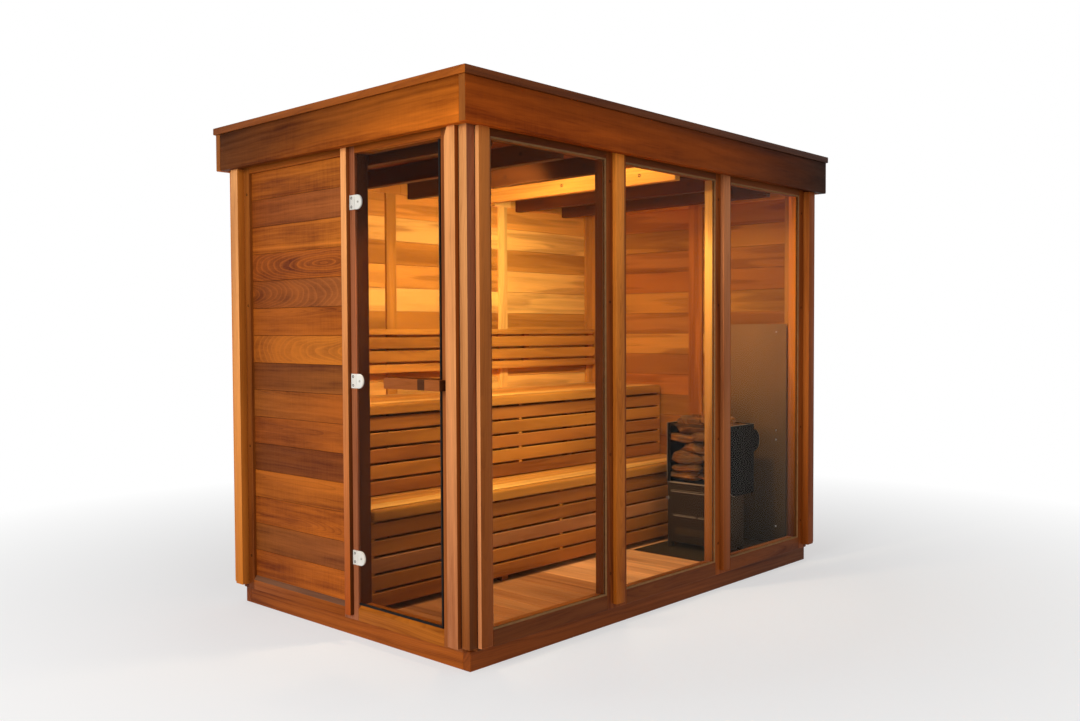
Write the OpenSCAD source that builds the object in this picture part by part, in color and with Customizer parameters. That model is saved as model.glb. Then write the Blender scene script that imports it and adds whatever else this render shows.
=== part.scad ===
// Cube sauna: a flat-roofed timber cabin with one glazed long wall and a glass door.
// Millimetres, +Z up. The origin is on the floor under the middle of the base.
// The door is in the -Y wall and the glazed wall faces +X.

/* [Base and overall] */
// width of the base, across the door wall
base_w = 1470; // [1440:10:1800]
// length of the base, along the glazed wall
base_l = 2400; // [2100:10:3000]
// height of the base boards
base_h = 73; // [60:1:110]
// thickness of the base boards
base_board_t = 38; // [30:1:44]
// thickness of the floor boards
floor_t = 19; // [15:1:30]
// width of each floor bearer
bearer_w = 38; // [30:1:60]
// number of floor bearers
bearer_n = 5; // [3:1:8]

/* [Wall panels] */
// height of a wall panel
panel_h = 1887; // [1700:1:2200]
// thickness of a wall panel
wall_t = 64; // [56:1:80]
// distance the panels stand proud of the base
wall_proud = 20; // [10:1:30]
// distance from the base corner to the end of a panel
post_inset = 17; // [10:1:20]
// number of panels along a long wall
panel_n = 3; // [2:1:4]
// height of the top and bottom rails
rail_h = 60; // [45:1:90]
// width of a stile at a corner
corner_stile_w = 80; // [60:1:95]
// width of a stile at a panel joint of a long wall
stile_w = 62; // [50:1:90]
// width of each stile at the joint beside the door
door_stile_w = 45; // [35:1:60]
// width of the jamb between the doorway and the corner
latch_jamb_w = 98; // [80:1:120]
// depth of the siding behind the face of the stiles, on both sides
siding_recess = 13; // [6:1:18]

/* [Posts and battens] */
// distance the corner posts stand proud of the base
post_proud = 35; // [31:1:40]
// height of the batten ends above the top of the base
batten_lift = 19; // [0:1:40]
// width of a cover batten
batten_w = 54; // [45:1:80]
// thickness of a cover batten
batten_t = 19; // [12:1:20]
// width of the cover batten beside the door
door_batten_w = 35; // [25:1:50]
// width of corner post left showing beside each corner batten
corner_show = 40; // [25:1:45]

/* [Windows] */
// thickness of the window glass
pane_t = 8; // [6:1:12]
// depth of the window glass behind the face of the stiles
pane_set = 8; // [4:1:20]

/* [Door] */
// width of the doorway
door_open_w = 504; // [440:1:520]
// gap round the door glass
door_gap = 7; // [6:1:10]
// thickness of the door glass
door_glass_t = 8; // [6:1:10]
// distance from each end of the glass to the middle of the hinge nearest it
hinge_end = 183; // [100:1:300]
// height of a hinge plate
hinge_h = 56; // [40:1:80]
// thickness of a hinge plate
hinge_t = 5; // [3:1:6]
// radius of the hinge barrel
hinge_r = 4; // [3:0.5:5]
// gap between the hinge barrel and the faces behind it
hinge_back_gap = 0.3; // [0.2:0.1:0.5]
// gap between the jamb plate of a hinge and the cover batten
hinge_batten_gap = 3; // [1:1:6]
// width of the hinge plate on the glass
hinge_leaf_w = 42; // [36:1:60]
// gap between the knuckles of a hinge
knuckle_gap = 0.4; // [0.3:0.1:0.8]
// height of the door handle above the base
handle_z = 944; // [800:1:1100]
// length of the door handle
handle_l = 316; // [240:1:380]
// height of the door handle bar
handle_h = 39; // [24:1:50]
// thickness of the door handle bar
handle_t = 29; // [16:1:32]
// distance of the handle bar from the glass
handle_gap = 17; // [12:1:45]
// distance the outer handle reaches past the edge of the glass
handle_over = 47; // [0:1:52]
// distance the inner handle ends short of the edge of the glass
handle_short = 12; // [8:1:40]
// width of a handle block
handle_block_w = 39; // [24:1:50]
// distance from each end of the outer handle to its nearest block
handle_block_end = 85; // [60:1:90]
// how much less than the bar a handle block is, above and below
handle_block_trim = 4; // [0:1:8]

/* [Roof] */
// depth of the roof panel
roof_t = 120; // [90:1:180]
// height of the fascia
fascia_h = 159; // [130:1:200]
// thickness of the fascia
fascia_t = 34; // [19:1:36]
// gap between the fascia and the battens and posts behind it
fascia_gap = 3; // [1:1:20]
// thickness of the cap boards
cap_t = 30; // [19:1:40]
// width of the cap boards
cap_w = 120; // [90:1:160]
// distance the cap boards reach past the fascia
cap_over = 8; // [0:1:40]
// thickness of the roof boards inside the cap boards
roof_board_t = 16; // [12:1:19]

/* [Ceiling joists] */
// spacing of the ceiling joists
joist_pitch = 390; // [300:5:600]
// distance from the door wall to the first joist
joist_first = 86; // [60:1:120]
// depth of a ceiling joist
joist_h = 80; // [60:1:120]
// thickness of a ceiling joist
joist_t = 38; // [30:1:50]

/* [Benches] */
// height of the upper seat above the floor
upper_z = 822; // [760:1:900]
// height of the lower seat above the floor
lower_z = 422; // [400:1:460]
// depth of the upper bench from the wall
upper_d = 536; // [450:1:600]
// depth of the lower bench from the wall
lower_d = 806; // [720:1:840]
// thickness of a seat
seat_t = 27; // [20:1:40]
// height of a seat nosing
nosing_h = 45; // [34:1:60]
// depth of a seat nosing
nosing_d = 40; // [27:1:60]
// gap at each end of a bench
bench_gap = 8; // [4:1:20]
// height of a skirt slat
skirt_h = 60; // [45:1:90]
// gap between skirt slats
skirt_gap = 10; // [6:1:14]
// thickness of a skirt slat
skirt_t = 19; // [12:1:25]
// distance of the skirt behind the front of the nosing
skirt_set = 12; // [6:1:20]
// width of a bench support
support_w = 38; // [30:1:60]
// number of bench supports
support_n = 4; // [3:1:6]

/* [Backrest] */
// height of the bottom of the backrest above the upper seat
backrest_z = 109; // [80:1:160]
// heights of the backrest slats, from the bottom up
backrest_slats = [41, 56, 56, 28]; // [20:1:90]
// gap between the backrest slats
backrest_gap = 12; // [6:1:20]
// thickness of a backrest slat
backrest_t = 19; // [12:1:27]
// depth of the blocks behind the backrest
backrest_block_t = 21; // [16:1:40]
// gap at each end of the backrest
backrest_end = 20; // [8:1:60]

/* [Heater] */
// width of the heater
heater_w = 380; // [300:1:400]
// depth of the heater
heater_d = 240; // [200:1:260]
// height of the heater top above the floor plate
heater_h = 652; // [560:1:760]
// gap from the heater to the glazed wall
heater_side_gap = 106; // [80:1:160]
// gap from the heater to the back wall
heater_back_gap = 213; // [180:1:260]
// height of the bottom of the stone cage above the floor plate
cage_z = 340; // [280:1:400]
// depth of the side sheets below the bottom of the stone cage
side_drop = 46; // [0:1:80]
// radius of the lower front corner of the side sheets
side_corner_r = 60; // [20:1:90]
// thickness of the heater's sheet metal
sheet_t = 4; // [3:1:6]
// width of the heater's corner posts
cage_post = 24; // [16:1:30]
// gap between the stones and the cage
stone_gap = 0.4; // [0.3:0.1:3]
// height of the heap of stones above the cage
heap_h = 50; // [20:1:70]
// distance from the sides of the cage to the heap of stones
heap_inset = 45; // [20:1:60]
// depth of the heater pedestal
pedestal_d = 150; // [110:1:190]
// height of the heater feet
foot_h = 30; // [20:1:60]
// radius of the rear bulge of the heater
bulge_r = 58; // [40:1:70]
// distance from the top of the heater to the rear bulge
bulge_drop = 30; // [10:1:60]
// width of the heat shield on the back wall
shield_w = 440; // [380:1:500]
// height of the heat shield on the back wall
shield_h = 1166; // [900:1:1400]
// thickness of the heat shield
shield_t = 3; // [2:1:5]
// gap from the heat shield to the wall behind it
shield_gap = 22; // [15:1:30]
// gap from the heat shield to the glazed wall
shield_side_gap = 25; // [5:1:60]
// radius of the spacers behind the heat shield
spacer_r = 8; // [5:1:12]
// distance from the spacers to the edges they stand near
spacer_inset = 33; // [20:1:60]
// width of the heater's floor plate
plate_w = 560; // [500:1:565]
// depth of the heater's floor plate
plate_d = 630; // [560:1:700]
// thickness of the heater's floor plate
plate_t = 3; // [2:1:5]
// gap from the floor plate to the walls
plate_gap = 5; // [1:1:20]

/* [Hidden] */
$fn = 48;
hw = base_w / 2;
hl = base_l / 2;
floor_z = base_h;
wall_top = base_h + panel_h;
out_x = hw + wall_proud;
out_y = hl + wall_proud;
in_x = out_x - wall_t;
in_y = out_y - wall_t;
end_x = hw - post_inset;
end_y = hl - post_inset;
// middle of the joint beside the door
joint_x = end_x - latch_jamb_w - door_open_w - door_stile_w;
// middles of the panel joints of a long wall, to the half millimetre
joint_ys = [for (i = [1 : panel_n - 1]) round(4 * end_y * i / panel_n - 2 * end_y) / 2];
rail_z = base_h + rail_h;
head_z = wall_top - rail_h;
siding_t = wall_t - 2 * siding_recess;
batten_z = base_h + batten_lift;
roof_z = wall_top;
roof_top = roof_z + roof_t;
fascia_z = roof_top - fascia_h;
fascia_in = max(wall_proud + batten_t, post_proud) + fascia_gap;
fascia_proud = fascia_in + fascia_t;
cap_proud = fascia_proud + cap_over;
cap_in = cap_proud - cap_w;
corner_in = end_x - corner_stile_w;
hinge_gap_x = joint_x + door_stile_w;
leaf_x = hinge_gap_x + door_gap;
leaf_w = door_open_w - 2 * door_gap;
leaf_z = rail_z + door_gap;
leaf_h = head_z - rail_z - 2 * door_gap;
pin_x = hinge_gap_x + door_gap / 2;
pin_y = -out_y - hinge_r - hinge_back_gap;
hinge_zs = [leaf_z + hinge_end, leaf_z + leaf_h / 2, leaf_z + leaf_h - hinge_end];
joist_n = floor((2 * in_y - joist_first - joist_t) / joist_pitch) + 1;
bench_x = -in_x;
bench_l = 2 * (in_y - bench_gap);
heater_x = in_x - heater_side_gap - heater_w;
heater_y = in_y - heater_back_gap - heater_d;
heater_z = floor_z + plate_t;
heater_top = heater_z + heater_h;
upper_top = floor_z + upper_z;
lower_top = floor_z + lower_z;

WOOD = [0.60, 0.33, 0.15];
WOOD_DARK = [0.42, 0.21, 0.10];
WOOD_LIGHT = [0.80, 0.52, 0.27];
GLASS = [0.45, 0.42, 0.38, 0.5];
STEEL = [0.72, 0.72, 0.70];
SHEET = [0.45, 0.45, 0.40];
BLACK = [0.08, 0.08, 0.08];
STONE = [0.40, 0.34, 0.28];

// part to show, or all of them

// a block from one corner to the opposite corner
module block(a, b) {
    translate(a) cube(b - a);
}

// the same piece on both sides of the middle plane across X
module both_x() {
    children();
    mirror([1, 0, 0]) children();
}

// the same piece on both sides of the middle plane across Y
module both_y() {
    children();
    mirror([0, 1, 0]) children();
}

// ---- base and floor ----

module base_side_boards() {
    color(WOOD) both_x() block([hw - base_board_t, -hl, 0], [hw, hl, base_h]);
}

module base_end_boards() {
    inner = hw - base_board_t;
    color(WOOD) both_y() block([-inner, hl - base_board_t, 0], [inner, hl, base_h]);
}

module floor_boards() {
    x = hw - base_board_t;
    y = hl - base_board_t;
    color(WOOD_LIGHT) block([-x, -y, floor_z - floor_t], [x, y, floor_z]);
}

module floor_bearers() {
    x = hw - base_board_t;
    span = base_l - 2 * base_board_t;
    color(WOOD_DARK) for (i = [1 : bearer_n]) {
        y = -span / 2 + i * span / (bearer_n + 1);
        block([-x, y - bearer_w / 2, 0], [x, y + bearer_w / 2, floor_z - floor_t]);
    }
}

// ---- corners and battens ----

module corner_post() {
    block([end_x, end_y, batten_z], [hw + post_proud, hl + post_proud, wall_top]);
    block([end_x, in_y, base_h], [out_x, end_y, wall_top]);
}

module corner_posts() {
    color(WOOD_DARK) both_x() both_y() corner_post();
}

// the two battens of the corner at +X, +Y, cut away where they lap the post
module corner_batten_pair() {
    edge_x = hw + post_proud - corner_show;
    edge_y = hl + post_proud - corner_show;
    proud = post_proud + batten_t;
    difference() {
        union() {
            block([edge_x - batten_w, out_y, batten_z],
                [edge_x, hl + proud, fascia_z]);
            block([out_x, edge_y - batten_w, batten_z],
                [hw + proud, edge_y, fascia_z]);
        }
        block([end_x, end_y, batten_z - 1], [hw + post_proud, hl + post_proud, fascia_z + 1]);
    }
}

module corner_battens() {
    color(WOOD) both_x() both_y() corner_batten_pair();
}

module cover_battens() {
    color(WOOD) {
        both_x() for (y = joint_ys)
            block([out_x, y - batten_w / 2, batten_z], [out_x + batten_t, y + batten_w / 2, wall_top]);
        both_y() block([joint_x - door_batten_w / 2, out_y, batten_z],
            [joint_x + door_batten_w / 2, out_y + batten_t, wall_top]);
    }
}

// ---- side walls ----

// uprights of a long wall standing at +X
module long_wall_stiles() {
    for (s = [-1, 1]) {
        a = s * in_y;
        b = s * (end_y - corner_stile_w);
        block([in_x, min(a, b), base_h], [out_x, max(a, b), wall_top]);
    }
    for (y = joint_ys)
        block([in_x, y - stile_w, base_h], [out_x, y + stile_w, wall_top]);
}

// lower and upper ends of the bay i between two uprights of a long wall
function bay_start(i) = i == 0 ? -end_y + corner_stile_w : joint_ys[i - 1] + stile_w;
function bay_end(i) = i == panel_n - 1 ? end_y - corner_stile_w : joint_ys[i] - stile_w;

module long_wall_rails() {
    for (i = [0 : panel_n - 1]) for (z = [base_h, head_z])
        block([in_x, bay_start(i), z], [out_x, bay_end(i), z + rail_h]);
}

module glazed_wall_stiles() {
    color(WOOD) long_wall_stiles();
}

module glazed_wall_rails() {
    color(WOOD) long_wall_rails();
}

module window_panes() {
    x = out_x - pane_set - pane_t;
    color(GLASS) for (i = [0 : panel_n - 1])
        block([x, bay_start(i), rail_z], [x + pane_t, bay_end(i), head_z]);
}

module left_wall_stiles() {
    color(WOOD) mirror([1, 0, 0]) long_wall_stiles();
}

module left_wall_rails() {
    color(WOOD) mirror([1, 0, 0]) long_wall_rails();
}

module left_wall_siding() {
    x = in_x + siding_recess;
    color(WOOD) mirror([1, 0, 0]) for (i = [0 : panel_n - 1])
        block([x, bay_start(i), rail_z], [x + siding_t, bay_end(i), head_z]);
}

// ---- end walls ----

module back_wall_stiles() {
    color(WOOD) {
        both_x() block([corner_in, in_y, base_h], [end_x, out_y, wall_top]);
        block([joint_x - door_stile_w, in_y, base_h], [joint_x + door_stile_w, out_y, wall_top]);
    }
}

module back_wall_rails() {
    color(WOOD) for (z = [base_h, head_z]) {
        block([-corner_in, in_y, z], [joint_x - door_stile_w, out_y, z + rail_h]);
        block([joint_x + door_stile_w, in_y, z], [corner_in, out_y, z + rail_h]);
    }
}

module back_wall_siding() {
    y = in_y + siding_recess;
    color(WOOD) {
        block([-corner_in, y, rail_z], [joint_x - door_stile_w, y + siding_t, head_z]);
        block([joint_x + door_stile_w, y, rail_z], [corner_in, y + siding_t, head_z]);
    }
}

module front_wall_stiles() {
    color(WOOD) {
        block([-end_x, -out_y, base_h], [-corner_in, -in_y, wall_top]);
        block([joint_x - door_stile_w, -out_y, base_h], [joint_x + door_stile_w, -in_y, wall_top]);
        block([hinge_gap_x + door_open_w, -out_y, base_h], [end_x, -in_y, wall_top]);
    }
}

module front_wall_rails() {
    color(WOOD) for (z = [base_h, head_z])
        block([-corner_in, -out_y, z], [joint_x - door_stile_w, -in_y, z + rail_h]);
}

module front_wall_siding() {
    y = -in_y - siding_recess;
    color(WOOD) block([-corner_in, y - siding_t, rail_z], [joint_x - door_stile_w, y, head_z]);
}

module door_header() {
    color(WOOD) block([hinge_gap_x, -out_y, head_z], [hinge_gap_x + door_open_w, -in_y, wall_top]);
}

module door_threshold() {
    color(WOOD) block([hinge_gap_x, -out_y, base_h], [hinge_gap_x + door_open_w, -in_y, rail_z]);
}

// ---- door ----

// a length of hinge barrel between two heights, joined to the plate that ends at x
module knuckle(x, z0, z1) {
    translate([pin_x, pin_y, z0]) cylinder(h = z1 - z0, r = hinge_r);
    block([min(x, pin_x), -out_y - hinge_t, z0], [max(x, pin_x), pin_y + hinge_r, z1]);
}

module hinge_jamb_plates() {
    third = hinge_h / 3;
    x0 = joint_x + door_batten_w / 2 + hinge_batten_gap;
    x1 = pin_x - hinge_r - 1;
    color(STEEL) for (z = hinge_zs) {
        z0 = z - hinge_h / 2;
        block([x0, -out_y - hinge_t, z0], [x1, -out_y, z0 + hinge_h]);
        knuckle(x1, z0 + third, z0 + 2 * third);
    }
}

// the flat plate on the glass, square beside the barrel and round at its far end
module leaf_plate(x0, z0) {
    r = hinge_h / 2;
    intersection() {
        union() {
            translate([x0 + hinge_leaf_w - r, -out_y, z0 + r]) rotate([90, 0, 0])
                cylinder(h = hinge_t, r = r);
            block([x0, -out_y - hinge_t, z0], [x0 + hinge_leaf_w - r, -out_y, z0 + hinge_h]);
        }
        block([x0, -out_y - hinge_t, z0], [x0 + hinge_leaf_w, -out_y, z0 + hinge_h]);
    }
}

module hinge_leaf_plates() {
    third = hinge_h / 3;
    x0 = pin_x + hinge_r + 1;
    color(STEEL) for (z = hinge_zs) {
        z0 = z - hinge_h / 2;
        leaf_plate(x0, z0);
        for (a = [0, 2 * third + knuckle_gap])
            knuckle(x0, z0 + a, z0 + a + third - knuckle_gap);
    }
}

module door_glass() {
    color(GLASS) block([leaf_x, -out_y, leaf_z], [leaf_x + leaf_w, -out_y + door_glass_t, leaf_z + leaf_h]);
}

// a bar that ends at x, on two blocks that stand off the glass at y = 0 towards -Y
module handle_bar(x) {
    z0 = base_h + handle_z - handle_h / 2;
    block([-handle_l, -handle_gap - handle_t, z0], [x, -handle_gap, z0 + handle_h]);
    for (x0 = [-handle_l + handle_block_end, -handle_block_end - handle_block_w])
        block([x0, -handle_gap, z0 + handle_block_trim],
            [x0 + handle_block_w, 0, z0 + handle_h - handle_block_trim]);
}

module outer_handle() {
    color(WOOD_DARK) translate([leaf_x + leaf_w + handle_over, -out_y, 0]) handle_bar(0);
}

module inner_handle() {
    color(WOOD_DARK) translate([leaf_x + leaf_w + handle_over, -out_y + door_glass_t, 0])
        mirror([0, 1, 0]) handle_bar(-handle_over - handle_short);
}

// ---- roof ----

module roof_panel() {
    x = hw + fascia_in;
    y = hl + fascia_in;
    color(WOOD_LIGHT) block([-x, -y, roof_z], [x, y, roof_top]);
}

module fascia_side_boards() {
    y = hl + fascia_proud;
    color(WOOD) both_x() block([hw + fascia_in, -y, fascia_z], [hw + fascia_proud, y, roof_top]);
}

module fascia_end_boards() {
    x = hw + fascia_in;
    color(WOOD) both_y() block([-x, hl + fascia_in, fascia_z], [x, hl + fascia_proud, roof_top]);
}

module cap_side_boards() {
    y = hl + cap_proud;
    color(WOOD_DARK) both_x() block([hw + cap_in, -y, roof_top], [hw + cap_proud, y, roof_top + cap_t]);
}

module cap_end_boards() {
    x = hw + cap_in;
    color(WOOD_DARK) both_y() block([-x, hl + cap_in, roof_top], [x, hl + cap_proud, roof_top + cap_t]);
}

module roof_boards() {
    x = hw + cap_in;
    y = hl + cap_in;
    color(WOOD_DARK) block([-x, -y, roof_top], [x, y, roof_top + roof_board_t]);
}

module ceiling_joists() {
    color(WOOD_DARK) for (i = [0 : joist_n - 1]) {
        y = -in_y + joist_first + i * joist_pitch;
        block([-in_x, y, roof_z - joist_h], [in_x, y + joist_t, roof_z]);
    }
}

// ---- benches ----

// a seat with a rounded nosing along its front, d deep, with its top at height z
module seat(d, z) {
    r = nosing_h / 3;
    y = bench_l / 2;
    block([bench_x, -y, z - seat_t], [bench_x + d - nosing_d, y, z]);
    translate([bench_x + d, y, z]) rotate([90, 0, 0]) linear_extrude(bench_l) nosing_profile(r);
}

// the nosing section, with its front upper corner at the origin
module nosing_profile(r) {
    translate([-nosing_d, -nosing_h]) square([nosing_d - r, nosing_h]);
    translate([-r, -nosing_h + r]) square([r, nosing_h - 2 * r]);
    for (y = [-r, -nosing_h + r]) intersection() {
        translate([-r, y]) circle(r);
        translate([-r, -nosing_h]) square([r, nosing_h]);
    }
}

// as many skirt slats as fit under a seat, above the height z0
module skirt(d, z, z0) {
    x = bench_x + d - skirt_set;
    y = bench_l / 2;
    n = floor((z - nosing_h - z0) / (skirt_h + skirt_gap));
    for (i = [0 : n - 1]) {
        top = z - nosing_h - skirt_gap - i * (skirt_h + skirt_gap);
        block([x - skirt_t, -y, top - skirt_h], [x, y, top]);
    }
}

// uprights and bearers behind a skirt, from height z0 up to the seat
module supports(d, z, z0) {
    back = bench_x + d - skirt_set - skirt_t;
    run = bench_l - support_w;
    for (i = [0 : support_n - 1]) {
        y = -run / 2 + i * run / (support_n - 1) - support_w / 2;
        block([back - support_w, y, z0], [back, y + support_w, z - seat_t - support_w]);
        block([bench_x, y, z - seat_t - support_w], [bench_x + d - nosing_d, y + support_w, z - seat_t]);
    }
}

module upper_bench_seat() {
    color(WOOD_LIGHT) seat(upper_d, upper_top);
}

module upper_bench_skirt() {
    color(WOOD_LIGHT) skirt(upper_d, upper_top, lower_top);
}

module lower_bench_seat() {
    color(WOOD_LIGHT) seat(lower_d, lower_top);
}

module lower_bench_skirt() {
    color(WOOD_LIGHT) skirt(lower_d, lower_top, floor_z);
}

module bench_supports() {
    color(WOOD) {
        supports(upper_d, upper_top, lower_top);
        supports(lower_d, lower_top, floor_z);
    }
}

// height of the bottom of backrest slat i above the bottom of the backrest
function slat_z(i) = i == 0 ? 0 : slat_z(i - 1) + backrest_slats[i - 1] + backrest_gap;

module backrest_slats() {
    n = len(backrest_slats);
    y = in_y - backrest_end;
    x = bench_x + backrest_block_t;
    color(WOOD_LIGHT) for (i = [0 : n - 1]) {
        z = upper_top + backrest_z + slat_z(i);
        block([x, -y, z], [x + backrest_t, y, z + backrest_slats[i]]);
    }
}

module backrest_blocks() {
    n = len(backrest_slats);
    y = in_y - backrest_end;
    top = slat_z(n - 1) + backrest_slats[n - 1];
    z = upper_top + backrest_z;
    run = 2 * y - support_w;
    color(WOOD_LIGHT) for (i = [0 : support_n])
        translate([bench_x, -y + i * run / support_n, z]) cube([backrest_block_t, support_w, top]);
}

// ---- heater ----

module heater_pedestal() {
    x0 = heater_x + sheet_t;
    x1 = heater_x + heater_w - sheet_t;
    foot_ys = [heater_y + sheet_t, heater_y + pedestal_d - cage_post];
    color(BLACK) {
        block([x0, heater_y, heater_z + foot_h], [x1, heater_y + pedestal_d, heater_z + cage_z]);
        for (x = [x0, x1 - cage_post]) for (y = foot_ys)
            block([x, y, heater_z], [x + cage_post, y + cage_post, heater_z + foot_h]);
    }
}

// outline of a side sheet of the heater, y and z from its lower front corner
module side_outline() {
    r = side_corner_r;
    h = heater_h - cage_z + side_drop;
    translate([r, 0]) square([heater_d - r, h]);
    translate([0, r]) square([heater_d, h - r]);
    intersection() {
        translate([r, r]) circle(r);
        square(r);
    }
}

module heater_cage() {
    x1 = heater_x + heater_w;
    y1 = heater_y + heater_d;
    z0 = heater_z + cage_z;
    color(BLACK) {
        block([heater_x + sheet_t, heater_y, z0], [x1 - sheet_t, y1, z0 + sheet_t]);
        block([heater_x, y1 - sheet_t, z0], [x1, y1, heater_top]);
        for (x = [heater_x, x1 - sheet_t]) translate([x, heater_y, z0 - side_drop])
            rotate([90, 0, 90]) linear_extrude(sheet_t) side_outline();
        for (x = [heater_x, x1 - cage_post])
            block([x, heater_y, z0], [x + cage_post, heater_y + sheet_t, heater_top]);
        translate([heater_x, y1, heater_top - bulge_r - bulge_drop]) rotate([90, 0, 90])
            intersection() {
                cylinder(h = heater_w, r = bulge_r);
                translate([0, -bulge_r, 0]) cube([bulge_r, 2 * bulge_r, heater_w]);
            }
    }
}

module heater_stones() {
    a = sheet_t + stone_gap;
    b = a + heap_inset;
    x1 = heater_x + heater_w;
    y1 = heater_y + heater_d;
    z0 = heater_z + cage_z + sheet_t;
    color(STONE) {
        block([heater_x + a, heater_y + a, z0], [x1 - a, y1 - a, heater_top]);
        block([heater_x + b, heater_y + b, z0], [x1 - b, y1 - b, heater_top + heap_h]);
    }
}

module floor_plate() {
    x1 = in_x - plate_gap;
    y1 = in_y - plate_gap;
    color(SHEET) block([x1 - plate_w, y1 - plate_d, floor_z], [x1, y1, floor_z + plate_t]);
}

// a sheet standing on the floor plate, on spacers that reach the siding of the back wall
module heat_shield() {
    x1 = in_x - shield_side_gap;
    x0 = x1 - shield_w;
    y1 = in_y - shield_gap;
    z1 = heater_z + shield_h;
    color(SHEET) {
        block([x0, y1 - shield_t, heater_z], [x1, y1, z1]);
        for (x = [x0 + spacer_inset, corner_in - spacer_inset])
            for (z = [rail_z + spacer_inset, z1 - spacer_inset])
                translate([x, in_y + siding_recess, z]) rotate([90, 0, 0])
                    cylinder(h = shield_gap + siding_recess, r = spacer_r);
    }
}

base_side_boards();
base_end_boards();
floor_bearers();
floor_boards();
corner_posts();
corner_battens();
cover_battens();
glazed_wall_stiles();
glazed_wall_rails();
window_panes();
left_wall_stiles();
left_wall_rails();
left_wall_siding();
back_wall_stiles();
back_wall_rails();
back_wall_siding();
front_wall_stiles();
front_wall_rails();
front_wall_siding();
door_header();
door_threshold();
hinge_jamb_plates();
roof_panel();
fascia_side_boards();
fascia_end_boards();
cap_side_boards();
cap_end_boards();
roof_boards();
ceiling_joists();
upper_bench_seat();
upper_bench_skirt();
lower_bench_seat();
lower_bench_skirt();
bench_supports();
backrest_slats();
backrest_blocks();
heater_pedestal();
heater_cage();
heater_stones();
heat_shield();
floor_plate();
door_glass();
hinge_leaf_plates();
outer_handle();
inner_handle();
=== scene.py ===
"""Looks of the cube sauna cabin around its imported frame. Metres, +Z up, the door in the -Y wall."""

import itertools
import math
import random

import bmesh
import bpy
from mathutils import Matrix, Vector, noise


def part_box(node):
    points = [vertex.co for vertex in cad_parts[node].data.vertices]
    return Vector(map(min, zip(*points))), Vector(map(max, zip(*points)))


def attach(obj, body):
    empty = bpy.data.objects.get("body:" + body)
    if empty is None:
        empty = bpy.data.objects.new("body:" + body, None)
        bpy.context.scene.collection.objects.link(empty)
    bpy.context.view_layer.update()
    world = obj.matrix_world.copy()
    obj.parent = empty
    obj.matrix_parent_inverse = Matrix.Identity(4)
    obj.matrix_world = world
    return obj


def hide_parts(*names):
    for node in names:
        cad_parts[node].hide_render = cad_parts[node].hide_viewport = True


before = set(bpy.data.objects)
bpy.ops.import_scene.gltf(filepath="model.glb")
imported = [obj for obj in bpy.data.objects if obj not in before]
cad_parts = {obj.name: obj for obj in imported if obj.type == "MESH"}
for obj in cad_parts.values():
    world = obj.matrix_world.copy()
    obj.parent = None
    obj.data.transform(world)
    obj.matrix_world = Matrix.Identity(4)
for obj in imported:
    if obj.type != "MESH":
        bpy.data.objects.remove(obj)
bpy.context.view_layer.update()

X, Y, Z = 0, 1, 2
MM = 0.001
# each wall's axis, the side it is on, and the axis it runs along
WALLS = {"glazed": (X, 1, Y), "left": (X, -1, Y), "back": (Y, 1, X), "front": (Y, -1, X)}
# the heights of the screws in the walls and in the heat shield, and the joists' screws along X
SCREW_HEIGHTS = (0.22, 0.707, 1.325, 1.81)
SHIELD_SCREWS = (0.17, 0.63, 0.68, 1.2)
JOIST_SCREWS = (-0.49, 0.011, 0.49)
SIDING_BOARDS = 15
WIDEST_STILE = 100 * MM


def mm(*lengths):
    """Lengths in millimetres, as metres."""
    return [length * MM for length in lengths]


def srgb(*rgb):
    """A colour as it shows on screen, 0 to 255, as the linear colour a node takes."""
    return tuple(((c / 255 + 0.055) / 1.055) ** 2.4 for c in rgb)


TINTS = {name: srgb(*rgb) for name, rgb in {
    "orange": (172, 88, 20), "amber": (154, 78, 20), "brown": (132, 64, 18),
    "umber": (112, 55, 16), "ash": (138, 74, 24), "flame": (180, 98, 26), "tan": (198, 114, 48),
    "ember": (160, 70, 13), "soot": (74, 37, 10), "pitch": (44, 20, 5), "saffron": (250, 149, 54),
    "plum": (158, 92, 58), "copper": (170, 104, 38), "peach": (240, 164, 98),
    "apricot": (216, 122, 34), "mauve": (210, 132, 82), "russet": (146, 78, 32),
    "cocoa": (98, 50, 16), "bark": (78, 40, 14), "stone_grey": (122, 78, 52),
    "caramel": (184, 120, 42), "oak": (226, 160, 96), "gold": (230, 170, 80),
    "honey": (208, 140, 54), "rust": (180, 106, 36), "toffee": (148, 84, 30),
    "biscuit": (180, 118, 64),
}.items()}

# the boards of the front wall from the top: colour, strength of the figure, with light loops if
# it is below 0, and for a board sawn close to the pith, how far along it the loops close
FRONT_BOARDS = (
    (("amber", "flame"), 0.6), (("brown", "russet"), 0.8), (("amber", "flame"), 0.9),
    (("brown", "amber"), -1.9, 0.72), (("brown", "russet"), -1.5, -0.4), (("amber", "orange"), 0.7),
    (("amber", "flame"), -1.2, 1.1), (("umber", "ash"), 0.7), (("ash", "amber"), 0.8),
    (("brown", "amber"), 0.8), (("umber", "brown"), 0.7), (("amber", "orange"), 0.9),
    (("amber", "orange"), 0.9), (("ash", "russet"), 0.7), (("amber", "orange"), 0.8),
)

# each wall's stiles and rails outside, and its frame inside, in turn from the lowest place
FRAMES = {
    "glazed": (["brown"], "umber",
               # the glazed wall's inner stiles that run from a dark foot to a pale head carry painted
               # light from the lamp above them
               ["honey", "umber", ("toffee", "gold"), ("cocoa", "saffron"), "toffee"]),
    "left": (["amber"], "amber", ["honey", "caramel", "gold", "honey"]),
    "back": (["amber"], "amber", ["caramel", "rust", "honey"]),
    "front": ([("umber", "toffee"), "plum", "russet"], "amber", ["honey", "rust", "honey"]),
}


# ---- timber and meshes ----

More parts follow.
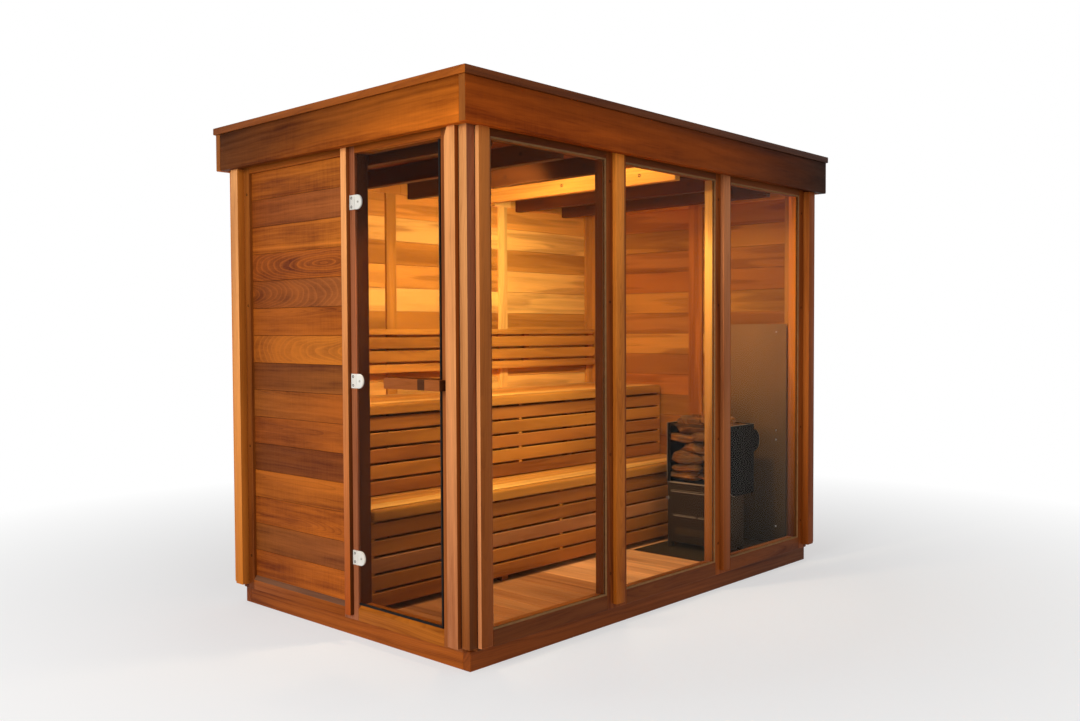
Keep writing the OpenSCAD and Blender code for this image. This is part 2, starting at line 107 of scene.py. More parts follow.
class Stock:
    """A length of timber: the way its grain runs, where its pith lies, and its colour."""

    def __init__(self, rng, lo, hi, along, tint, figure=1.0, eye=None):
        """tint names one colour, or two for a board that changes from one end to the other: on the
        siding its own tone, and on the posts, battens, fascia and glazed wall's inner stiles painted
        light that falls off along them.
        eye is how far along the board its rings close round the pith, from 0 to 1."""
        size = [hi[i] - lo[i] for i in range(3)]
        wide, thin = sorted((i for i in range(3) if i != along), key=lambda i: -size[i])
        self.axes = (along, wide, thin)
        self.centre = (Vector(lo) + Vector(hi)) / 2
        # most boards are sawn with the pith below them, the rest with the pith well to one side
        if rng.random() < 0.6:
            across, depth = rng.uniform(-0.4, 0.4) * size[wide], rng.uniform(0.005, 0.045)
        else:
            across, depth = rng.choice((-1, 1)) * rng.uniform(0.6, 1.5) * size[wide], 0.05
        self.shift = (rng.uniform(0, 60), across, depth)
        self.slope = rng.choice((-1, 1)) * rng.uniform(0.01, 0.05)
        self.coarse = 1.0
        if eye is not None:
            self.slope, self.coarse = 0.17, 0.5
            self.shift = (self.shift[0], 0.0, (0.5 - eye) * size[along] * self.slope)
        light = 1 + rng.uniform(-0.08, 0.08)
        warmth = 1 + rng.uniform(-0.04, 0.04)
        pair = (tint, tint) if isinstance(tint, str) else tint
        self.ends = [Vector(TINTS[name]) for name in pair]
        self.shade = Vector((light, light / warmth, light / warmth ** 2))
        self.length, self.width = size[along], size[wide]
        self.figure = figure
        self.lift = 0.0

    def tint(self, p):
        """The timber's colour at a point: it changes evenly along the board, and across it by lift,
        the share of light that the far edge gains and the near edge loses."""
        share = 0.5 + (p[self.axes[0]] - self.centre[self.axes[0]]) / self.length
        rise = (p[self.axes[1]] - self.centre[self.axes[1]]) / self.width
        colour = self.ends[0].lerp(self.ends[1], min(max(share, 0.0), 1.0)) * (1 + self.lift * rise)
        return (*(a * b for a, b in zip(colour, self.shade)), 1.0)

    def place(self, p):
        """The point's place along the grain, across it and through it, from the pith."""
        d = Vector(p) - self.centre
        a, b, c = self.axes
        across, depth = d[b] + self.shift[1], d[c] + self.shift[2] + self.slope * d[a]
        return d[a] + self.shift[0], across * self.coarse, depth * self.coarse


def linked(name, data):
    """A new object in the scene."""
    made = bpy.data.objects.new(name, data)
    bpy.context.scene.collection.objects.link(made)
    return made


class Piece:
    """Many small solids gathered into one mesh, each point with its place in its timber."""

    def __init__(self):
        self.points, self.faces = [], []
        self.grain, self.tint, self.figure, self.worn = [], [], [], []

    def add(self, points, faces, stock=None, worn=()):
        start = len(self.points)
        self.points += [tuple(p) for p in points]
        self.faces += [[start + i for i in face] for face in faces]
        self.worn += [float(i in worn) for i in range(len(faces))]
        stocks = stock if isinstance(stock, list) else [stock] * len(points)
        for p, own in zip(points, stocks):
            self.grain += own.place(p) if own else tuple(p)
            self.tint += own.tint(p) if own else (1.0, 1.0, 1.0, 1.0)
            self.figure.append(own.figure if own else 1.0)

    def make(self, name, material, slot, node=None, body="cabin"):
        """The finished mesh, which stands for a CAD node or is a piece of its own."""
        mesh = bpy.data.meshes.new(name)
        mesh.from_pydata(self.points, [], self.faces)
        for key, kind, domain, field, values in (
            ("grain", "FLOAT_VECTOR", "POINT", "vector", self.grain),
            ("tint", "FLOAT_COLOR", "POINT", "color", self.tint),
            ("figure", "FLOAT", "POINT", "value", self.figure),
            ("worn", "FLOAT", "FACE", "value", self.worn),
        ):
            mesh.attributes.new(key, kind, domain).data.foreach_set(field, values)
        shell = bmesh.new()
        shell.from_mesh(mesh)
        bmesh.ops.recalc_face_normals(shell, faces=shell.faces)
        shell.to_mesh(mesh)
        shell.free()
        mesh.shade_smooth()
        mesh.set_sharp_from_angle(angle=math.radians(32))
        mesh.materials.append(MATERIALS[material])
        made = linked(name, mesh)
        if node:
            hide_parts(node)
        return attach(made, body)


def others(axis):
    """The other two axes."""
    return [i for i in range(3) if i != axis]


def corner_index(axes, sides):
    """The number of a box's corner that lies on these sides, 0 or 1, of three axes."""
    return sum(side << (2 - axis) for axis, side in zip(axes, sides))


def block_faces():
    """The faces of a block with eased edges: six sides, then twelve edges and eight corners."""
    faces = []
    for a in range(3):
        b, c = others(a)
        for s in (0, 1):
            loop = ((0, 0), (0, 1), (1, 1), (1, 0))
            faces.append([3 * corner_index((a, b, c), (s, t, u)) + a for t, u in loop])
    for d in range(3):
        a, b = others(d)
        for s, t in itertools.product((0, 1), repeat=2):
            ends = [3 * corner_index((a, b, d), (s, t, e)) for e in (0, 1)]
            faces.append([ends[0] + a, ends[0] + b, ends[1] + b, ends[1] + a])
    faces += [[3 * c, 3 * c + 1, 3 * c + 2] for c in range(8)]
    return faces


BLOCK_FACES = block_faces()
BLOCK_EDGES = range(6, len(BLOCK_FACES))


def block(piece, lo, hi, stock=None, ease=1.5 * MM):
    """A bar with eased edges, from its lowest to its highest corner."""
    r = min(ease, 0.4 * min(hi[i] - lo[i] for i in range(3)))
    points = []
    for corner in itertools.product((0, 1), repeat=3):
        for axis in range(3):
            inset = [0 if i == axis else r for i in range(3)]
            points.append([hi[i] - inset[i] if corner[i] else lo[i] + inset[i] for i in range(3)])
    piece.add(points, BLOCK_FACES, stock, BLOCK_EDGES)


def bar(piece, x, y, z, ease=1.5 * MM):
    """A plain bar between two places on each axis."""
    block(piece, *zip(x, y, z), ease=ease)


def timber(piece, rng, lo, hi, along, tint, figure=1.0, ease=1.5 * MM, eye=None):
    """One bar of timber whose grain runs along an axis."""
    block(piece, lo, hi, Stock(rng, lo, hi, along, tint, figure, eye), ease)


def boards(piece, rng, lo, hi, along, across, count, look, gap=1.4 * MM, ease=1 * MM):
    """Boards side by side that fill a box. look(i) gives board i's colour and figure, and its eye."""
    pitch = (hi[across] - lo[across]) / count
    for i in range(count):
        a, b = Vector(lo), Vector(hi)
        a[across] = lo[across] + i * pitch + (gap / 2 if i else 0)
        b[across] = lo[across] + (i + 1) * pitch - (gap / 2 if i < count - 1 else 0)
        tint, figure, *eye = look(i)
        timber(piece, rng, a, b, along, tint, figure, ease, *eye)


def some(rng, *tints, strength=1.0):
    """A look for boards: any of these colours, with a figure of any strength."""
    return lambda i: (rng.choice(tints), strength * rng.choice((-0.9, 0.6, 0.9, 1.2)))


def courses(rng, *tints):
    """A look for siding whose colours come in turn from the top, with a change here and there."""
    def look(i):
        own = tints[(SIDING_BOARDS - 1 - i) % len(tints)]
        return rng.choice((own, own, own, rng.choice(tints))), rng.choice((-0.6, 0.5, 0.8))
    return look


def rounded(x0, y0, x1, y1, radii, steps=5):
    """The outline of a rectangle with rounded corners, anticlockwise from its lowest corner."""
    points = []
    corners = ((x0, y0, 1, 1), (x1, y0, -1, 1), (x1, y1, -1, -1), (x0, y1, 1, -1))
    for turn, ((x, y, sx, sy), r) in enumerate(zip(corners, radii)):
        for k in range(steps + 1):
            angle = math.radians(180 + 90 * turn + 90 * k / steps)
            points.append((x + sx * r + r * math.cos(angle), y + sy * r + r * math.sin(angle)))
    return points


def inset_outline(outline, d):
    """A convex outline drawn in by the distance d on every side."""
    drawn = []
    for i, point in enumerate(outline):
        p = Vector(point)
        before = (p - Vector(outline[i - 1])).normalized()
        after = (Vector(outline[(i + 1) % len(outline)]) - p).normalized()
        n1, n2 = Vector((-before.y, before.x)), Vector((-after.y, after.x))
        drawn.append(p + (n1 + n2) * d / (1 + n1.dot(n2)))
    return drawn


def placed(axis, level, u, v):
    """A point at a level of one axis and at u and v of the other two."""
    q = [u, v]
    q.insert(axis, level)
    return q


def between_rings(rings, n, closed=False):
    """The faces that join rings of n points, and the last ring to the first if they close."""
    faces = []
    for ring in range(rings if closed else rings - 1):
        a, b = ring * n, (ring + 1) % rings * n
        faces += [[a + k, a + (k + 1) % n, b + (k + 1) % n, b + k] for k in range(n)]
    return faces


def capped(rings, n):
    """The faces of a solid made of rings of n points: its two ends, then the rings."""
    return [list(range(n)), list(range((rings - 1) * n, rings * n)), *between_rings(rings, n)]


def slab(piece, outline, span, axis, stock=None, rim=2 * MM, steps=3):
    """A solid with a convex outline across an axis, its rim rounded at both ends of the span."""
    quarter = [math.radians(90 * k / steps) for k in range(steps + 1)]
    levels = [(rim * (1 - math.sin(t)), span[0] + rim * (1 - math.cos(t))) for t in quarter]
    levels += [(d, span[0] + span[1] - level) for d, level in reversed(levels)]
    points = [placed(axis, level, *p) for d, level in levels for p in inset_outline(outline, d)]
    n = len(outline)
    piece.add(points, capped(len(levels), n), stock, range(2, 2 + n * steps))


def turned(piece, centre, axis, side, shape, steps=14):
    """A turned piece standing on a face: shape is radius and height, from the rim inwards."""
    b, c = others(axis)
    points = []
    for radius, height in shape:
        for k in range(steps):
            q = list(centre)
            q[axis] += side * height
            q[b] += radius * math.cos(math.tau * k / steps)
            q[c] += radius * math.sin(math.tau * k / steps)
            points.append(q)
    piece.add(points, capped(len(shape), steps))


# turned shapes: the radius and height of each ring
SCREW = [mm(5.4, -1), mm(5.4, 0.2), mm(4.8, 0.6), mm(3.1, 0.6), mm(2.5, -0.4)]
BOLT = [mm(5, -1), mm(5, 1), mm(4.2, 1.9), mm(2.4, 2.1), mm(2, 0.9)]
WASHER = [mm(9, -0.5), mm(9, 2), mm(8, 3), mm(3, 3), mm(3, 6), mm(2, 6.5)]
KNOB = [mm(9, -1), mm(9, 3), mm(8, 4), mm(7, 4), mm(7, 12), mm(6, 14), mm(2, 14.5)]


def surround(piece, lo, hi, section):
    """A bead round the inside of a rectangle across X: section is inset and place along X."""
    points = []
    for inset, x in section:
        y0, y1, z0, z1 = lo.y + inset, hi.y - inset, lo.z + inset, hi.z - inset
        points += [(x, y0, z0), (x, y1, z0), (x, y1, z1), (x, y0, z1)]
    piece.add(points, between_rings(len(section), 4, closed=True))


def islands(node):
    """The separate solids of a CAD node in order of place, each as a welded bmesh and its corners."""
    whole = bmesh.new()
    whole.from_mesh(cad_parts[node].data)
    bmesh.ops.remove_doubles(whole, verts=whole.verts, dist=1e-5)
    whole.verts.ensure_lookup_table()
    found, seen = [], set()
    for start in whole.verts:
        if start.index in seen:
            continue
        group, queue = [], [start]
        seen.add(start.index)
        while queue:
            v = queue.pop()
            group.append(v)
            for edge in v.link_edges:
                other = edge.other_vert(v)
                if other.index not in seen:
                    seen.add(other.index)
                    queue.append(other)
        members = {v.index: i for i, v in enumerate(group)}
        faces = {f for v in group for f in v.link_faces}
        solid = bmesh.new()
        made = [solid.verts.new(v.co) for v in group]
        for f in sorted(faces, key=lambda f: f.index):
            solid.faces.new([made[members[v.index]] for v in f.verts])
        ends = [Vector([pick(v.co[i] for v in group) for i in range(3)]) for pick in (min, max)]
        found.append((solid, *ends))
    whole.free()
    return sorted(found, key=lambda item: [round(c, 4) for c in item[1]])


def solids(node):
    """The lowest and highest corner of each separate solid of a CAD node."""
    boxes = []
    for solid, lo, hi in islands(node):
        boxes.append((lo, hi))
        solid.free()
    return boxes


def paint(material, *nodes):
    """Gives the own meshes of CAD nodes a material."""
    for node in nodes:
        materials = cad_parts[node].data.materials
        materials.clear()
        materials.append(MATERIALS[material])


def eased_copy(piece, solid, stock, shaded_side_stock=None):
    """Adds one CAD solid with its sharp edges eased. Its faces towards +X may be of another stock, a
    darker colour that is painted shade.
    """
    flat = math.radians(1)
    bmesh.ops.dissolve_limit(solid, angle_limit=flat, verts=solid.verts, edges=solid.edges)
    bmesh.ops.recalc_face_normals(solid, faces=solid.faces)
    sharp = [e for e in solid.edges if e.calc_face_angle(0) > math.radians(25)]
    done = bmesh.ops.bevel(solid, geom=sharp, offset=1.5 * MM, segments=2, profile=0.5,
                           affect="EDGES", clamp_overlap=True)
    bevels = set(done["faces"])
    solid.verts.index_update()
    worn = {i for i, f in enumerate(solid.faces) if f in bevels}
    stocks = [stock] * len(solid.verts)
    for f in solid.faces:
        if shaded_side_stock and f not in bevels and f.normal.x > 0.6:
            for v in f.verts:
                stocks[v.index] = shaded_side_stock
    piece.add([v.co.copy() for v in solid.verts], [[v.index for v in f.verts] for f in solid.faces],
              stocks, worn)
    solid.free()


# ---- materials ----

class Tree:
    """A new material, or a world, and short calls for its nodes."""

    def __init__(self, name, owner=None):
        self.owner = owner or bpy.data.materials.new(name)
        self.owner.use_nodes = True
        self.nodes, self.links = self.owner.node_tree.nodes, self.owner.node_tree.links
        self.nodes.clear()

    def node(self, kind, inputs=None, **settings):
        made = self.nodes.new("ShaderNode" + kind)
        for key, value in settings.items():
            setattr(made, key, value)
        for key, value in (inputs or {}).items():
            if isinstance(value, bpy.types.NodeSocket):
                self.links.new(value, made.inputs[key])
            else:
                made.inputs[key].default_value = value
        return made

    def attribute(self, name, output):
        return self.node("Attribute", attribute_name=name).outputs[output]

    def place(self):
        return self.node("TexCoord").outputs["Object"]

    def math(self, operation, a, b=0.0, clamp=False):
        return self.node("Math", {0: a, 1: b}, operation=operation, use_clamp=clamp).outputs[0]

    def add(self, *terms):
        total = terms[0]
        for term in terms[1:]:
            total = self.math("ADD", total, term)
        return total

    def centred(self, value, amount):
        """A value between 0 and 1, as an amount either side of nothing."""
        return self.math("MULTIPLY", self.math("SUBTRACT", value, 0.5), amount)

    def scaled(self, vector, factors):
        inputs = {0: vector, 1: factors}
        return self.node("VectorMath", inputs, operation="MULTIPLY").outputs[0]

    def noise(self, vector, scale, detail=2.0, rough=0.5):
        inputs = {"Vector": vector, "Scale": scale, "Detail": detail, "Roughness": rough}
        return self.node("TexNoise", inputs).outputs[0]

    def streaks(self, vector, factors, detail=2.0, rough=0.5):
        """Noise that is finer along some axes than others."""
        return self.noise(self.scaled(vector, factors), 1.0, detail, rough)

    def between(self, value, low, high, to_low=0.0, to_high=1.0):
        inputs = {0: value, 1: low, 2: high, 3: to_low, 4: to_high}
        return self.node("MapRange", inputs).outputs[0]

    def ramp(self, value, *stops):
        made = self.node("ValToRGB", {0: value})
        while len(made.color_ramp.elements) < len(stops):
            made.color_ramp.elements.new(1.0)
        for element, (position, colour) in zip(made.color_ramp.elements, stops):
            element.position = position
            element.color = (*colour, 1.0)
        return made.outputs[0]

    def blend(self, fac, a, b, kind="MIX"):
        a, b = (c if isinstance(c, bpy.types.NodeSocket) else (*c, 1.0) for c in (a, b))
        inputs = {0: fac, 6: a, 7: b}
        return self.node("Mix", inputs, data_type="RGBA", blend_type=kind).outputs[2]

    def bump(self, height, strength, distance=0.5 * MM):
        inputs = {"Height": height, "Strength": strength, "Distance": distance}
        return self.node("Bump", inputs).outputs[0]

    def output(self, shader):
        self.node("OutputMaterial", {0: shader})
        return self.owner

    def surface(self, colour, rough, normal, level, metallic=0.0):
        inputs = {"Base Color": colour, "Roughness": rough, "Normal": normal,
                  "Metallic": metallic, "Specular IOR Level": level}
        return self.output(self.node("BsdfPrincipled", inputs).outputs[0])


def wood(name, bands, flame=0.3, rings=0.35, fibre=0.3, rough=0.55, cloud=1.1, mottle=0.2,
         edge=0.06, saw=0.0, gloss=0.1):
    """Sawn timber: rings round the pith, broad bands that follow them, flames and fine fibre."""
    t = Tree(name)
    grain = t.attribute("grain", "Vector")
    figure = t.attribute("figure", "Fac")
    apart = t.node("SeparateXYZ", {0: grain}).outputs
    warp = t.streaks(grain, (1.7, 10, 10))
    knots = t.streaks(grain, (7, 22, 22), 1.0)
    radius = t.math("SQRT", t.add(t.math("MULTIPLY", apart[1], apart[1]),
                                  t.math("MULTIPLY", apart[2], apart[2])))
    radius = t.add(radius, t.centred(warp, 0.03), t.centred(knots, 0.004))
    inputs = {"W": radius, "Scale": 70.0, "Detail": 1.0}
    band = t.node("TexNoise", inputs, noise_dimensions="1D").outputs[0]
    ring = t.math("FRACT", t.math("DIVIDE", radius, 4.2 * MM))
    late = t.between(ring, 0.55, 0.92)
    early = t.between(ring, 0.94, 1.0, 1.0, 0.0)
    line = t.math("MULTIPLY", late, early)
    patch = t.streaks(grain, (1.1, 17, 17), 1.0)
    patch = t.between(patch, 0.5 - edge, 0.5 + edge)
    slow = t.streaks(grain, (0.8, 6, 6))
    fine = t.streaks(grain, (9, 420, 420), 3.0, 0.6)
    hair = t.streaks(grain, (3, 130, 130))
    follow = t.add(t.centred(band, 2.2 * bands), t.math("MULTIPLY", line, -0.5 * rings))
    tone = t.add(
        0.5 + 0.08 * rings,
        t.math("MULTIPLY", figure, follow),
        t.centred(patch, 0.5 * flame),
        t.centred(slow, cloud),
        t.centred(t.streaks(grain, (4, 28, 28), 3.0), mottle),
        t.centred(fine, fibre),
        t.centred(hair, fibre),
        t.centred(t.streaks(grain, (160, 9, 9)), saw),
    )
    shade = t.ramp(tone, (0.0, (0.27, 0.19, 0.16)), (0.5, (0.667, 0.667, 0.667)),
                   (1.0, (0.97, 1.0, 1.0)))
    tint = t.scaled(t.attribute("tint", "Color"), (1.5, 1.5, 1.5))
    colour = t.blend(1.0, shade, tint, "MULTIPLY")
    rubbed = t.between(t.noise(grain, 14.0), 0.35, 0.65)
    rubbed = t.math("MULTIPLY", t.attribute("worn", "Fac"), t.math("MULTIPLY", rubbed, 0.5))
    worn = t.scaled(colour, (1.35, 1.38, 1.4))
    colour = t.blend(rubbed, colour, worn)
    height = t.add(t.centred(fine, 0.9), t.centred(hair, 0.5), t.math("MULTIPLY", line, 0.5))
    roughness = t.between(t.add(fine, t.centred(band, 0.6)), 0.2, 0.8, rough + 0.1, rough - 0.08)
    return t.surface(colour, roughness, t.bump(height, 0.35), gloss)


def metal(name, colour, metallic, rough, mottle, grain=(40, 40, 40), bump=0.05):
    """Sheet or cast metal with slow stains, fine brushing and slight unevenness."""
    t = Tree(name)
    place = t.place()
    stain = t.streaks(place, (5, 5, 5), 4.0)
    brush = t.streaks(place, grain, 3.0, 0.65)
    dark = tuple(c * (1 - 3 * mottle) for c in colour)
    light = tuple(min(1.0, c * (1 + 2 * mottle)) for c in colour)
    shade = t.blend(t.between(stain, 0.3, 0.7), dark, light)
    shade = t.blend(t.between(brush, 0.35, 0.75, 0.0, 0.35), shade, colour)
    roughness = t.between(brush, 0.3, 0.7, rough - 0.07, rough + 0.1)
    level = 0.5 if metallic == 1.0 else 0.04
    return t.surface(shade, roughness, t.bump(brush, bump), level, metallic)


def shield_metal(name, lift):
    """Bare sheet, paler high up and darker and greener low down."""
    t = Tree(name)
    place = t.place()
    height = t.node("SeparateXYZ", {0: place}).outputs[2]
    clouds = t.streaks(place, (3, 3, 2), 3.0)
    level = t.add(height, t.centred(clouds, 0.5))
    shade = t.ramp(t.between(level, 0.1, 1.3), (0.0, srgb(62, 48, 26)), (0.45, srgb(108, 78, 40)),
                   (1.0, srgb(174, 126, 74)))
    shade = t.blend(1.0, shade, (lift, lift, lift), "MULTIPLY")
    brush = t.streaks(place, (60, 60, 900), 3.0)
    roughness = t.between(brush, 0.3, 0.7, 0.5, 0.6)
    return t.surface(shade, roughness, t.bump(clouds, 0.1, 2 * MM), 0.12)


def rock(name):
    """Dense layered stove stone, brown in its layers and greyer in patches."""
    t = Tree(name)
    place = t.place()
    layers = t.streaks(place, (14, 14, 90), 4.0, 0.6)
    grit = t.noise(place, 420.0, detail=3.0)
    clump = t.noise(place, 11.0, detail=2.0)
    shade = t.ramp(layers, (0.25, srgb(58, 28, 8)), (0.5, srgb(138, 80, 28)),
                   (0.75, srgb(196, 134, 62)))
    shade = t.blend(t.between(clump, 0.35, 0.7, 0.0, 0.7), shade, srgb(98, 84, 60))
    shade = t.blend(t.between(grit, 0.3, 0.7, 0.3, 0.0), shade, srgb(40, 28, 18))
    height = t.add(layers, t.centred(grit, 0.6))
    roughness = t.between(grit, 0.3, 0.7, 0.75, 0.95)
    return t.surface(shade, roughness, t.bump(height, 0.6, 3 * MM), 0.1)


def rubber(name, colour, rough):
    """Sealing bead with dust in it."""
    t = Tree(name)
    place = t.place()
    dust = t.noise(place, 55.0, detail=4.0)
    pale = tuple(min(1.0, c * 1.5 + 0.01) for c in colour)
    shade = t.blend(t.between(dust, 0.4, 0.75, 0.0, 0.6), colour, pale)
    roughness = t.between(dust, 0.3, 0.7, rough, rough + 0.15)
    return t.surface(shade, roughness, t.bump(dust, 0.1), 0.1)


def glass(name, tint):
    """Tinted sheet glass: light passes straight through, and the surface shines at a low angle."""
    t = Tree(name)
    place = t.place()
    film = t.streaks(place, (2, 2, 1))
    darker = tuple(c * 0.985 for c in tint)
    shade = t.blend(t.between(film, 0.35, 0.65), tint, darker)
    clear = t.node("BsdfTransparent", {"Color": shade}).outputs[0]
    smear = t.between(film, 0.3, 0.7, 0.015, 0.04)
    shine = t.node("BsdfGlossy", {"Color": (1, 1, 1, 1), "Roughness": smear}).outputs[0]
    facing = t.node("LayerWeight", {"Blend": 0.5}).outputs["Facing"]
    low = t.math("MULTIPLY", t.math("POWER", facing, 5.0), 0.25)
    edge = t.math("ADD", low, 0.002)
    return t.output(t.node("MixShader", {0: edge, 1: clear, 2: shine}).outputs[0])


MATERIALS = {
    "siding": wood("siding_wood", 0.35, 0.25, 0.5, fibre=0.35, cloud=1.4, mottle=0.8, saw=0.3),
    "fascia": wood("fascia_wood", 0.3, 0.2, 0.15, cloud=1.7, mottle=0.8, saw=0.2, gloss=0.04),
    "trim": wood("trim_wood", 0.28, 0.12, 0.3, fibre=0.25),
    "dark": wood("dark_wood", 0.45, 0.3, 0.4, rough=0.5),
    "inside": wood("inside_wood", 0.2, 0.5, 0.25, fibre=0.2, rough=0.5, cloud=0.9, edge=0.025),
    "bench": wood("bench_wood", 0.35, fibre=0.2, rough=0.45),
    "hinge": metal("hinge_satin", srgb(234, 230, 220), 0.1, 0.38, 0.06),
    "steel": metal("bright_steel", srgb(200, 196, 186), 1.0, 0.28, 0.05, (30, 30, 300)),
    # near black: the screw heads with painted shade of the holes they sit in
    "screw": metal("screw_head_and_hole_shade", srgb(24, 14, 8), 0.0, 0.6, 0.1),
    "heater": metal("heater_enamel", srgb(11, 7, 4), 0.0, 0.45, 0.12, (90, 90, 30), 0.01),
    "panel": metal("heater_panel", srgb(56, 42, 26), 0.0, 0.45, 0.08, (60, 60, 60), 0.01),
    "shield": shield_metal("shield_sheet", 0.85),
    "plate": shield_metal("floor_sheet", 0.9),
    "rock": rock("stove_stone"),
    "gasket": rubber("gasket_bead", srgb(134, 98, 62), 0.6),
    # bright strips on the heater's edges and slot lips, painted highlights
    "edge": metal("painted_highlight_edge", srgb(186, 164, 130), 0.0, 0.5, 0.08),
    "end": wood("end_grain", 0.2, 0.1, 0.6, fibre=0.4),
    "seal": rubber("door_seal", srgb(22, 20, 18), 0.45),
    "window": glass("window_sheet", (0.985, 0.965, 0.93)),
    "door": glass("door_sheet", (0.76, 0.72, 0.68)),
}


# ---- walls ----

def split(lo, hi, axis, at):
    """The two parts of a box on either side of a plane across an axis."""
    below, above = Vector(hi), Vector(lo)
    below[axis] = above[axis] = at
    return (lo, below), (above, hi)


def is_joint(lo, hi, run):
    """Whether a stile is two stiles side by side, where two panels meet."""
    return hi[run] - lo[run] > WIDEST_STILE


def inner_parts(wall, box, along, run):
    """A stile's or rail's inner layer as timbers: lowest corner, highest corner and grain.
    Where two boarded panels meet, a batten between the rails covers the joint."""
    lo, hi = box
    if along != Z or not is_joint(lo, hi, run):
        return [(lo, hi, along)]
    if wall == "glazed":
        return [(*half, Z) for half in split(lo, hi, run, (lo[run] + hi[run]) / 2)]
    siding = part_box(f"{wall}_wall_siding")
    foot, rest = split(lo, hi, Z, siding[0].z)
    batten, head = split(*rest, Z, siding[1].z)
    a, b = Vector(batten[0]), Vector(batten[1])
    lap = (hi[run] - lo[run]) / 4
    a[run] += lap
    b[run] -= lap
    return [(*foot, run), (a, b, Z), (*head, run)]


def lapped(wall, box, run):
    """A panel's inner boards, which run on over its stile at a joint as far as the batten."""
    a, b = Vector(box[0]), Vector(box[1])
    for lo, hi in solids(f"{wall}_wall_stiles"):
        if is_joint(lo, hi, run):
            lap = (hi[run] - lo[run]) / 4
            b[run] += lap if abs(lo[run] - b[run]) < MM else 0
            a[run] -= lap if abs(hi[run] - a[run]) < MM else 0
    return a, b


def wall_frame(wall):
    """A wall's stiles and rails: an outer and an inner layer that meet in a plane."""
    axis, side, run = WALLS[wall]
    stiles, rails, inside = FRAMES[wall]
    lo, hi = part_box("window_panes" if wall == "glazed" else f"{wall}_wall_siding")
    plane = lo.x if wall == "glazed" else (lo[axis] + hi[axis]) / 2
    for part, along, outside in (("stiles", Z, stiles), ("rails", run, [rails])):
        node = f"{wall}_wall_{part}"
        outer, inner = Piece(), Piece()
        rng = random.Random(f"{node} frame")
        for number, (lo, hi) in enumerate(solids(node)):
            within, without = split(lo, hi, axis, plane)[::side]
            tint = outside[number % len(outside)]
            if node == "front_wall_rails" and number == 0:
                ledged_rail(outer, rng, *without, tint)
            else:
                timber(outer, rng, *without, along, tint, 0.8)
            tint = inside[number % len(inside) if along == Z else -1]
            for a, b, way in inner_parts(wall, within, along, run):
                timber(inner, rng, a, b, way, tint, 0.6)
        outer.make(f"{node}_outside", "dark", "dark_cedar", node)
        inner.make(f"{node}_inside", "inside", "interior_cedar", node)


def ledged_rail(piece, rng, lo, hi, tint):
    """A bottom rail whose outer top edge is planed off to a sloping ledge, coloured pale grey as a
    painted highlight where light falls on it.
    """
    deep, tall, skin = mm(13, 17, 1)
    body = [(lo.y, lo.z), (hi.y, lo.z), (hi.y, hi.z), (lo.y + deep + skin, hi.z),
            (lo.y, hi.z - tall - skin)]
    slab(piece, body, (lo.x, hi.x), X, Stock(rng, lo, hi, X, tint, 0.8), 0.6 * MM, 2)
    # the ledge's pale grey is a painted highlight
    ledge = [(lo.y, hi.z - tall - skin), (lo.y + deep + skin, hi.z), (lo.y + deep, hi.z),
             (lo.y, hi.z - tall)]
    slab(piece, ledge, (lo.x, hi.x), X, Stock(rng, lo, hi, X, "stone_grey", 0.5), 0.1 * MM, 1)


def wall_siding(wall, outside, inside):
    """A wall's siding: boards outside and inside on a thin core."""
    axis, side, run = WALLS[wall]
    node = f"{wall}_wall_siding"
    outer, inner = Piece(), Piece()
    rng = random.Random(f"{node} boards")
    half_core = 2 * MM
    for lo, hi in solids(node):
        middle = (lo[axis] + hi[axis]) / 2
        low, rest = split(lo, hi, axis, middle - half_core)
        core, high = split(*rest, axis, middle + half_core)
        block(inner, *core, Stock(rng, *core, run, "cocoa"))
        within, without = (low, high)[::side]
        boards(outer, rng, *without, run, Z, SIDING_BOARDS, outside)
        boards(inner, rng, *lapped(wall, within, run), run, Z, SIDING_BOARDS, inside)
    outer.make(f"{wall}_siding_outside", "siding", "exterior_cedar", node)
    inner.make(f"{wall}_siding_inside", "inside", "interior_cedar", node)


def build_walls():
    rng = random.Random("walls")
    weather = some(rng, "orange", "amber", "brown", "flame", "ash", "amber")
    lining = {
        "left": courses(rng, "honey", "gold", "caramel", "honey", "gold", "caramel", "gold"),
        "back": courses(rng, "rust", "caramel", "copper", "rust", "caramel", "copper", "honey",
                        "rust"),
        "front": some(rng, "gold", "honey", "rust", "toffee", strength=0.7),
    }
    for wall in WALLS:
        wall_frame(wall)
        if wall in lining:
            wall_siding(wall, front_board if wall == "front" else weather, lining[wall])


def front_board(i):
    """A look for the front wall's siding."""
    return FRONT_BOARDS[SIDING_BOARDS - 1 - i]


def build_doorway():
    """The header and the threshold, whose outer top edge is planed off at a slope."""
    rng = random.Random("doorway")
    header, threshold = Piece(), Piece()
    timber(header, rng, *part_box("door_header"), X, "amber")
    header.make("door_header_board", "dark", "exterior_cedar", "door_header")
    lo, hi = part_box("door_threshold")
    slope = 14 * MM
    outline = [(lo.y, lo.z), (hi.y, lo.z), (hi.y, hi.z), (lo.y + slope, hi.z), (lo.y, hi.z - slope)]
    slab(threshold, outline, (lo.x, hi.x), X, Stock(rng, lo, hi, X, "flame"), 1.2 * MM, 2)
    threshold.make("door_threshold_board", "trim", "exterior_cedar", "door_threshold")


def batten_tints(front, right, on_end):
    """A corner batten's colour, lighter towards the top as painted light, and the darker colour of
    its side towards +X, which is painted shade.
    """
    if not front:
        return ("brown", "tan"), "brown" if right else "russet"
    if right:
        return ("mauve", "peach"), "brown" if on_end else ("brown", "tan")
    return ("apricot", "peach") if on_end else ("brown", "tan"), "rust"


